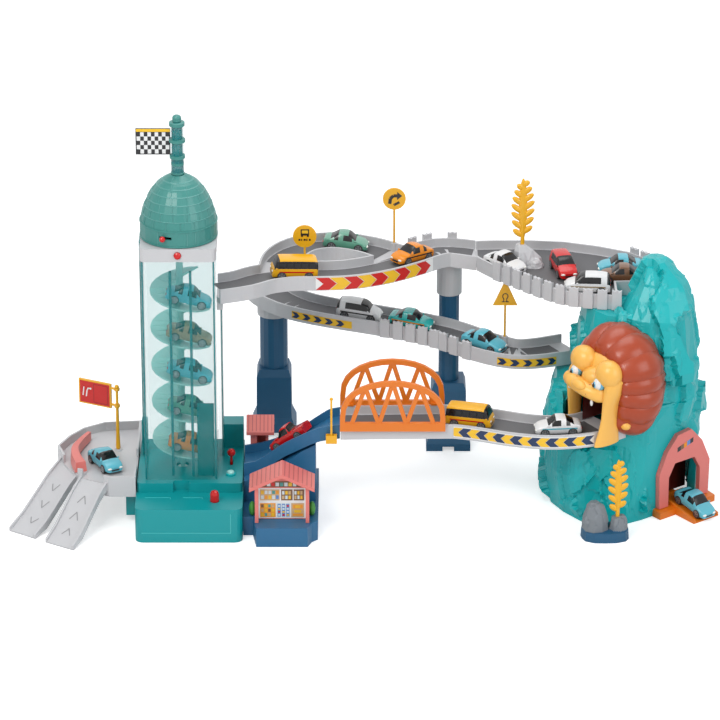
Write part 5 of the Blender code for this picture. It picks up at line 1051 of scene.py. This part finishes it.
MOUTH_HALF = 20.7
MOUTH_LOW = -44
# The lining is near black as painted shade in the mouth's hollow, darker than the mane it belongs to
lining = Shape(lion)
rows = []
for step in range(9):
    depth = -8 + 60 * step / 8
    arch = []
    for i in range(13):
        angle = math.pi * i / 12
        arch.append((MOUTH_HALF * math.cos(angle), depth, -16.5 + 15.8 * math.sin(angle)))
    rows.append([(MOUTH_HALF, depth, MOUTH_LOW)] + arch + [(-MOUTH_HALF, depth, MOUTH_LOW)])
lining.strip(rows, HOLLOW_SHADE)
# A black sheet at the back of the mouth: painted shade
lining.box((-20.5, 50, MOUTH_LOW), (20.5, 50.6, -1), BLACK)
lining.make("mouth_lining", "set", "mane")


# Marks laid on the solids' upper faces

DOWN = Vector((0, 0, -1))
CHEVRON_TIP = 0.0038
CHEVRON_BACK = 0.003
CHEVRON_HALF = 0.0048


def drop(node_name, place, start, lift):
    """The point just over a solid's face below a place."""
    found, point, normal, index = nodes[node_name].ray_cast(Vector((place.x, place.y, start)), DOWN)
    return point + normal * lift if found else Vector((place.x, place.y, start))


def laid_bar(shape, node_name, a, b, width, start, look, lift=0.00025, cuts=6):
    """A flat bar from a to b that follows a solid's upper face."""
    a = Vector((*a, 0))
    b = Vector((*b, 0))
    run = (b - a).normalized()
    side = Vector((-run.y, run.x, 0)) * width / 2
    middles = [a.lerp(b, step / cuts) for step in range(cuts + 1)]
    shape.strip([[drop(node_name, middle + way, start, lift) for way in (-side, side)] for middle in middles],
                look)


marks = Shape()
for top, toe, way in (((-0.11225, -0.004), (-0.15875, -0.0695), 1),
                      ((-0.08665, -0.0379), (-0.12, -0.09575), -1)):
    top = Vector(top)
    toe = Vector(toe)
    run = (toe - top).normalized()
    side = Vector((-run.y, run.x))
    for share in (0.34, 0.56, 0.78):
        middle = top.lerp(toe, share)
        for hand in (-1, 1):
            end = middle + side * hand * CHEVRON_HALF - run * way * CHEVRON_BACK
            laid_bar(marks, "turn_deck", middle + run * way * CHEVRON_TIP, end, 0.001, 0.08, MARK)
marks.make("ramp_chevrons", "set", "light_grey")

# Castle deck: the dark road inside the wall, and a small rock

CASTLE_ROAD = ((300, 131), (316, 110.5), (330, 96), (343, 81), (355, 68), (367, 56.5), (379, 46), (392, 38),
               (406, 34.2), (420, 31.4), (433.5, 29), (433.5, 65.5), (472.2, 67.8), (472.2, 118),
               (452, 138.5), (422.5, 154), (389, 166), (355, 170), (320, 170), (300, 168.5))
castle = Shape()
deck_z = DECK_ROAD_Z + 0.0002
castle.add([(x / 1000, y / 1000, deck_z) for x, y in CASTLE_ROAD], [tuple(range(len(CASTLE_ROAD)))], ROAD)
castle.make("castle_road_skin", "set", "light_grey")


def lump(shape, place, size, seed, look, levels=6, sides=11):
    """A rough block of rock."""
    rings = []
    for level in range(levels):
        share = level / (levels - 1)
        ring = []
        for i in range(sides):
            angle = 2 * math.pi * i / sides
            right = math.cos(angle)
            back = math.sin(angle)
            rough = 1.0 + 0.26 * noise.noise(Vector((right * 1.7, back * 1.7, share * 2.3 + seed)))
            wide = (1.0 - share ** 2.2 * 0.62) * rough
            tall = 1.0 + 0.16 * noise.noise(Vector((angle, seed, share)))
            ring.append((place[0] + size[0] * wide * right, place[1] + size[1] * wide * back,
                         place[2] + size[2] * share * tall))
        rings.append(ring)
    shape.rings(rings, look)


island = Shape()
for place, size, seed in (((0.352, 0.129), (0.0118, 0.0112, 0.0125), 3.1),
                          ((0.345, 0.123), (0.0062, 0.0058, 0.0155), 5.7),
                          ((0.359, 0.1225), (0.007, 0.0056, 0.0095), 8.3)):
    lump(island, (*place, DECK_ROAD_Z), size, seed, GREY)
island.make("island_rock", "set", "light_grey")

# Lane sign, in millimetres: a red face in the yellow frame, with the lanes' arrows

BOARD_HALF = 1.2
board = Shape(Matrix.Translation((-0.067, 0.034, 0.0)) @ Matrix.Rotation(math.radians(-26), 4, 'Z') @ MM)
for side in (-1, 1):
    board.plate(rectangle(-42.1, 92.9, -7.9, 116.6), STICKER_RED, side * BOARD_HALF, side * 0.15)
board.plate(rectangle(-26.5, 94.5, -9.8, 115), SIGN_DARK, -BOARD_HALF, -0.22)
board.plate(rectangle(-25.7, 95.3, -10.6, 114.2), STICKER_RED, -BOARD_HALF, -0.26)
for outline in (((-39.2, 100.5), (-38, 100.5), (-36.8, 110), (-38, 110)),
                ((-35.5, 99.8), (-34.2, 99.8), (-33.1, 107), (-34.4, 107)),
                ((-34.4, 106.6), (-33.1, 106.6), (-31.8, 108.8), (-33, 109.7)),
                ((-33.2, 109.7), (-32, 108.4), (-30, 108.4), (-30, 109.7)),
                ((-30, 107.6), (-28.3, 109), (-30, 110.5))):
    board.plate(outline, STICKER_WHITE, -BOARD_HALF, -0.36)
board.make("lane_sign_face", "lane_sign", "red")

# Track signs: plain pictograms in millimetres, each round the middle of its sign's face

LOAD_SIGN = (0.123, 0.0976, 0.2545)
BEND_SIGN = (0.214, 0.1491, 0.275)
TRIANGLE_SIGN = (0.327, 0.0996, 0.1865)
PICTURE_OUT = -0.15
PICTURE_OVER = -0.17

signs = Shape(Matrix.Translation(LOAD_SIGN) @ MM)
signs.plate(rectangle(-4, 1, 4.5, 7.8), BLACK, 0, PICTURE_OUT)
signs.plate(rectangle(-2.8, 3.4, 3.4, 6.6), STICKER_YELLOW, 0, -0.22)
for left in (-3.6, 2.2):
    signs.plate(rectangle(left, -0.4, left + 2, 1), BLACK, 0, PICTURE_OUT)
for index, wide in enumerate((1.8, 1, 2, 1.2, 1.8)):
    left = -6.2 + index * 2.6
    signs.plate(rectangle(left, -4.6, left + wide, -2.6), BLACK, 0, PICTURE_OUT)

signs.matrix = Matrix.Translation(BEND_SIGN) @ MM
signs.bent_bar([(-4.6, -5.2), (-4, 0.6), (-0.8, 3.6), (3.6, 3.4)], 3.4, BLACK, 0, PICTURE_OUT)
signs.plate([(2.8, -1), (8, 3.4), (3, 7.8)], BLACK, 0, -0.16)
signs.bent_bar([(-0.5, -6.6), (5.2, -3.4)], 2.6, BLACK, 0, PICTURE_OVER)

signs.matrix = Matrix.Translation(TRIANGLE_SIGN) @ MM
loop = [(-1.6, -4), (-1.4, -1.2)]
for step in range(13):
    angle = math.radians(230 - 280 * step / 12)
    loop.append((2.7 * math.cos(angle), 1.6 + 3 * math.sin(angle)))
signs.bent_bar(loop + [(1.4, -1.2), (1.6, -4)], 1, BLACK, 0, PICTURE_OUT)
signs.bent_bar([(-3.6, -4.4), (3.6, -4.4)], 0.9, BLACK, 0, PICTURE_OVER)
signs.make("sign_pictures", "set", "yellow")

# Shop: printed shelves, in millimetres from the wall's middle and the shop's floor

HOUSE_MIDDLE = 0.1015
HOUSE_FLOOR = 0.0205
PRINT_Y = -0.075
PRINT_LAYER = 0.1
goods = Shape(Matrix.Translation((HOUSE_MIDDLE, PRINT_Y, HOUSE_FLOOR)) @ MM)


def shelf(x0, z0, x1, z1, look, layer=3):
    """A coloured field on the shop's print."""
    goods.plate(rectangle(x0, z0, x1, z1), look, 0, -PRINT_LAYER * layer)


for *corners, look, layer in (
        (-23.5, 1.0, 23.5, 34.0, STICKER_WHITE, 1), (-22.0, 20.5, -2.5, 32.5, PRINT_TAN, 2),
        (-22.0, 2.0, -6.5, 17.5, PRINT_ORANGE, 2), (-5.5, 2.0, 8.0, 17.5, PRINT_PALE, 2),
        (9.0, 2.0, 22.0, 17.5, PRINT_TAN, 2), (-1.0, 20.5, 10.5, 32.5, PRINT_BROWN, 2),
        (11.5, 20.5, 22.0, 32.5, PRINT_BROWN, 2), (10.5, 3.5, 20.5, 6.0, PRINT_ORANGE, 3),
        (12.0, 7.0, 19.0, 10.0, STICKER_YELLOW, 3), (10.5, 11.5, 20.5, 16.0, PRINT_ORANGE, 3),
        (13.0, 12.5, 18.0, 15.2, STICKER_YELLOW, 4)):
    shelf(*corners, look, layer)
for index, (low_look, high_look) in enumerate((
        (PRINT_PALE, STICKER_YELLOW), (PRINT_ORANGE, PRINT_PALE), (STICKER_YELLOW, PRINT_PALE),
        (PRINT_PALE, PRINT_GREEN), (PRINT_BLUE, PRINT_ORANGE))):
    x = -21.0 + index * 3.7
    shelf(x, 22.0, x + 2.9, 26.0, low_look)
    shelf(x, 27.5, x + 2.9, 31.3, high_look)
for x, wide in ((0.0, 9.5), (12.3, 8.8)):
    for row in range(2):
        for column in range(3):
            left = x + column * wide / 3
            shelf(left, 22.0 + row * 5.0, left + wide / 3 - 0.8, 25.8 + row * 5.0,
                  (PRINT_TAN, PRINT_PALE, STICKER_YELLOW)[(row + column) % 3])
for row in range(3):
    for column in range(4):
        left = -21.0 + column * 3.5
        shelf(left, 3.2 + row * 4.8, left + 2.6, 6.6 + row * 4.8,
              (STICKER_YELLOW, PRINT_GREEN, PRINT_TAN, STICKER_YELLOW, PRINT_BROWN)[(row * 2 + column) % 5])
for column in range(3):
    left = -4.6 + column * 4.3
    shelf(left, 2.8, left + 3.2, 16.8, PRINT_BLUE)
    for row in range(4):
        shelf(left + 0.5, 3.6 + row * 3.3, left + 2.7, 5.6 + row * 3.3,
              (PRINT_PALE, STICKER_RED, STICKER_YELLOW, PRINT_PALE)[(row + column) % 4], 4)
goods.plate([(-21.5, 35.1), (21.5, 35.1), (15.0, 41.5), (-15.0, 41.5)], PRINT_BROWN, 0, -PRINT_LAYER * 2)
for index, look in enumerate((PRINT_PALE, STICKER_RED, PRINT_PALE, PRINT_GREEN, PRINT_PALE, STICKER_YELLOW,
                              PRINT_PALE)):
    left = -15.0 + index * 4.3
    shelf(left, 36.1, left + 3.4, 40.1, look)
goods.make("shop_print", "set", "white")

# Roofs: the planks' joints

planks = Shape()
for index in range(7):
    for side in (-1, 1):
        x = HOUSE_MIDDLE + side * (0.0028 + index * 0.0044)
        laid_bar(planks, "shop_house", (x, -0.0872), (x, -0.0528), 0.0009, 0.09, PINK_LINE, 0.0002, 2)
    x = 0.0662 + index * 0.0039
    for front, back in ((0.0208, 0.033), (0.0332, 0.0452)):
        laid_bar(planks, "booth", (x, front), (x, back), 0.0008, 0.1, PINK_LINE, 0.0002, 3)
planks.make("roof_planks", "set", "pink")

bushes = Shape(MM)
for place, radii in (((93.5, 38, 49), (6.8, 6, 8.2)),
                     ((71.5, -64, 27), (3.6, 6, 7.6)),
                     ((131, -64, 27), (3.6, 6, 7.6))):
    bushes.ball(place, radii, LEAF, 12, 8)
bushes.make("bushes", "set", "green", 50)

# Base, in millimetres: raised lines on the ledge and the front, lighter teal as painted highlight

lines = Shape(MM)
for x0, x1 in ((-36, -10), (2, 22)):
    lines.box((x0, -59, 35.9), (x1, -58.2, 36.5), TEAL_HIGHLIGHT)
    lines.box((x1 - 0.8, -62, 35.9), (x1, -58.2, 36.5), TEAL_HIGHLIGHT)
lines.box((-38.5, -87.35, 10.2), (50, -86.9, 10.8), TEAL_HIGHLIGHT)
lines.box((50, -87.35, 10.2), (50.6, -86.9, 31.2), TEAL_HIGHLIGHT)
lines.make("base_lines", "set", "teal")

# Gate, in millimetres: the arch's slanted print and the dark inside, a wall of painted shade

PRINT_STEP = 4.2
PRINT_RISE = 1.2
PRINT_TALL = 5
gate = facing((GATE_MIDDLE.x, GATE_MIDDLE.y, 0.0), (-0.617, 0.787)) @ MM
arch_front = min((gate.inverted() @ corner.co).y for corner in nodes["gate_arch"].data.vertices)
gate_print = Shape(gate)
for index, look in enumerate((BLACK, PRINT_BROWN, CAR_ORANGE, PRINT_BLUE, BLACK)):
    x = -10.5 + index * PRINT_STEP
    z = 65.5 + index * PRINT_RISE
    gate_print.plate([(x, z), (x + PRINT_STEP, z + PRINT_RISE), (x + PRINT_STEP, z + PRINT_RISE + PRINT_TALL),
                      (x, z + PRINT_TALL)], look, arch_front, -0.2)
gate_print.make("gate_print", "set", "pink")

inside = Shape(gate)
# A near-black wall at the back of the opening: painted shade
inside.box((-30, 32, 2), (36, 33, 56), HOLLOW_SHADE)
inside.box((-30, 4.5, 1), (20, 32, 2), ORANGE)
inside.make("gate_inside", "set", "pink")

# Trees: flat trunks with rounded leaves to both sides

LEAF_THICK = 0.0019
LEAF_LEAN = math.radians(52)


def leafy_tree(name, node_name, rows):
    """A leaf-shaped tree in the place of its solid, with leaning rounded leaves."""
    low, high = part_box(node_name)
    x, y = (low[0] + high[0]) / 2, (low[1] + high[1]) / 2
    tall = high[2] - low[2]
    half = (high[0] - low[0]) / 2
    stem = low[2] + 0.17 * tall
    crown = high[2] - stem
    shape = Shape()
    shape.stack([(0.0021, low[2]), (0.0021, stem), (0.0012, high[2] - 0.12 * tall)], (x, y), YELLOW)
    shape.ball((x, y, stem + crown / 2), (half * 0.36, LEAF_THICK, crown / 2), YELLOW, 24, 15)
    for row in range(rows):
        share = row / (rows - 1)
        wide = half * (0.62 + 0.38 * math.sin(math.pi * (0.15 + 0.62 * share))) * (1.0 - 0.42 * share ** 3)
        for side, step in ((-1, 0.0), (1, 0.5)):
            rise = stem + crown * (0.07 + 0.76 * share + step * 0.76 / rows)
            shape.matrix = Matrix.Translation((x, y, rise)) @ Matrix.Rotation(side * LEAF_LEAN, 4, 'Y')
            shape.ball((0, 0, wide * 0.62), (0.0031, LEAF_THICK * 0.94, wide * 0.66), YELLOW, 18, 11)
    shape.make(name, "set", "yellow", 50, node_name)


leafy_tree("big_tree_leaves", "big_tree", 7)
leafy_tree("small_tree_leaves", "small_tree", 6)

# Floor: plain and pale, larger than the view

floor_mesh = bpy.data.meshes.new("floor")
floor_mesh.from_pydata([(-3, -3, 0), (3.4, -3, 0), (3.4, 3.5, 0), (-3, 3.5, 0)], [], [(0, 1, 2, 3)])
floor_mesh.materials.append(floor_look())
floor = bpy.data.objects.new("floor", floor_mesh)
floor.location.z = cad_box[0][2] - 0.0002
bpy.context.collection.objects.link(floor)
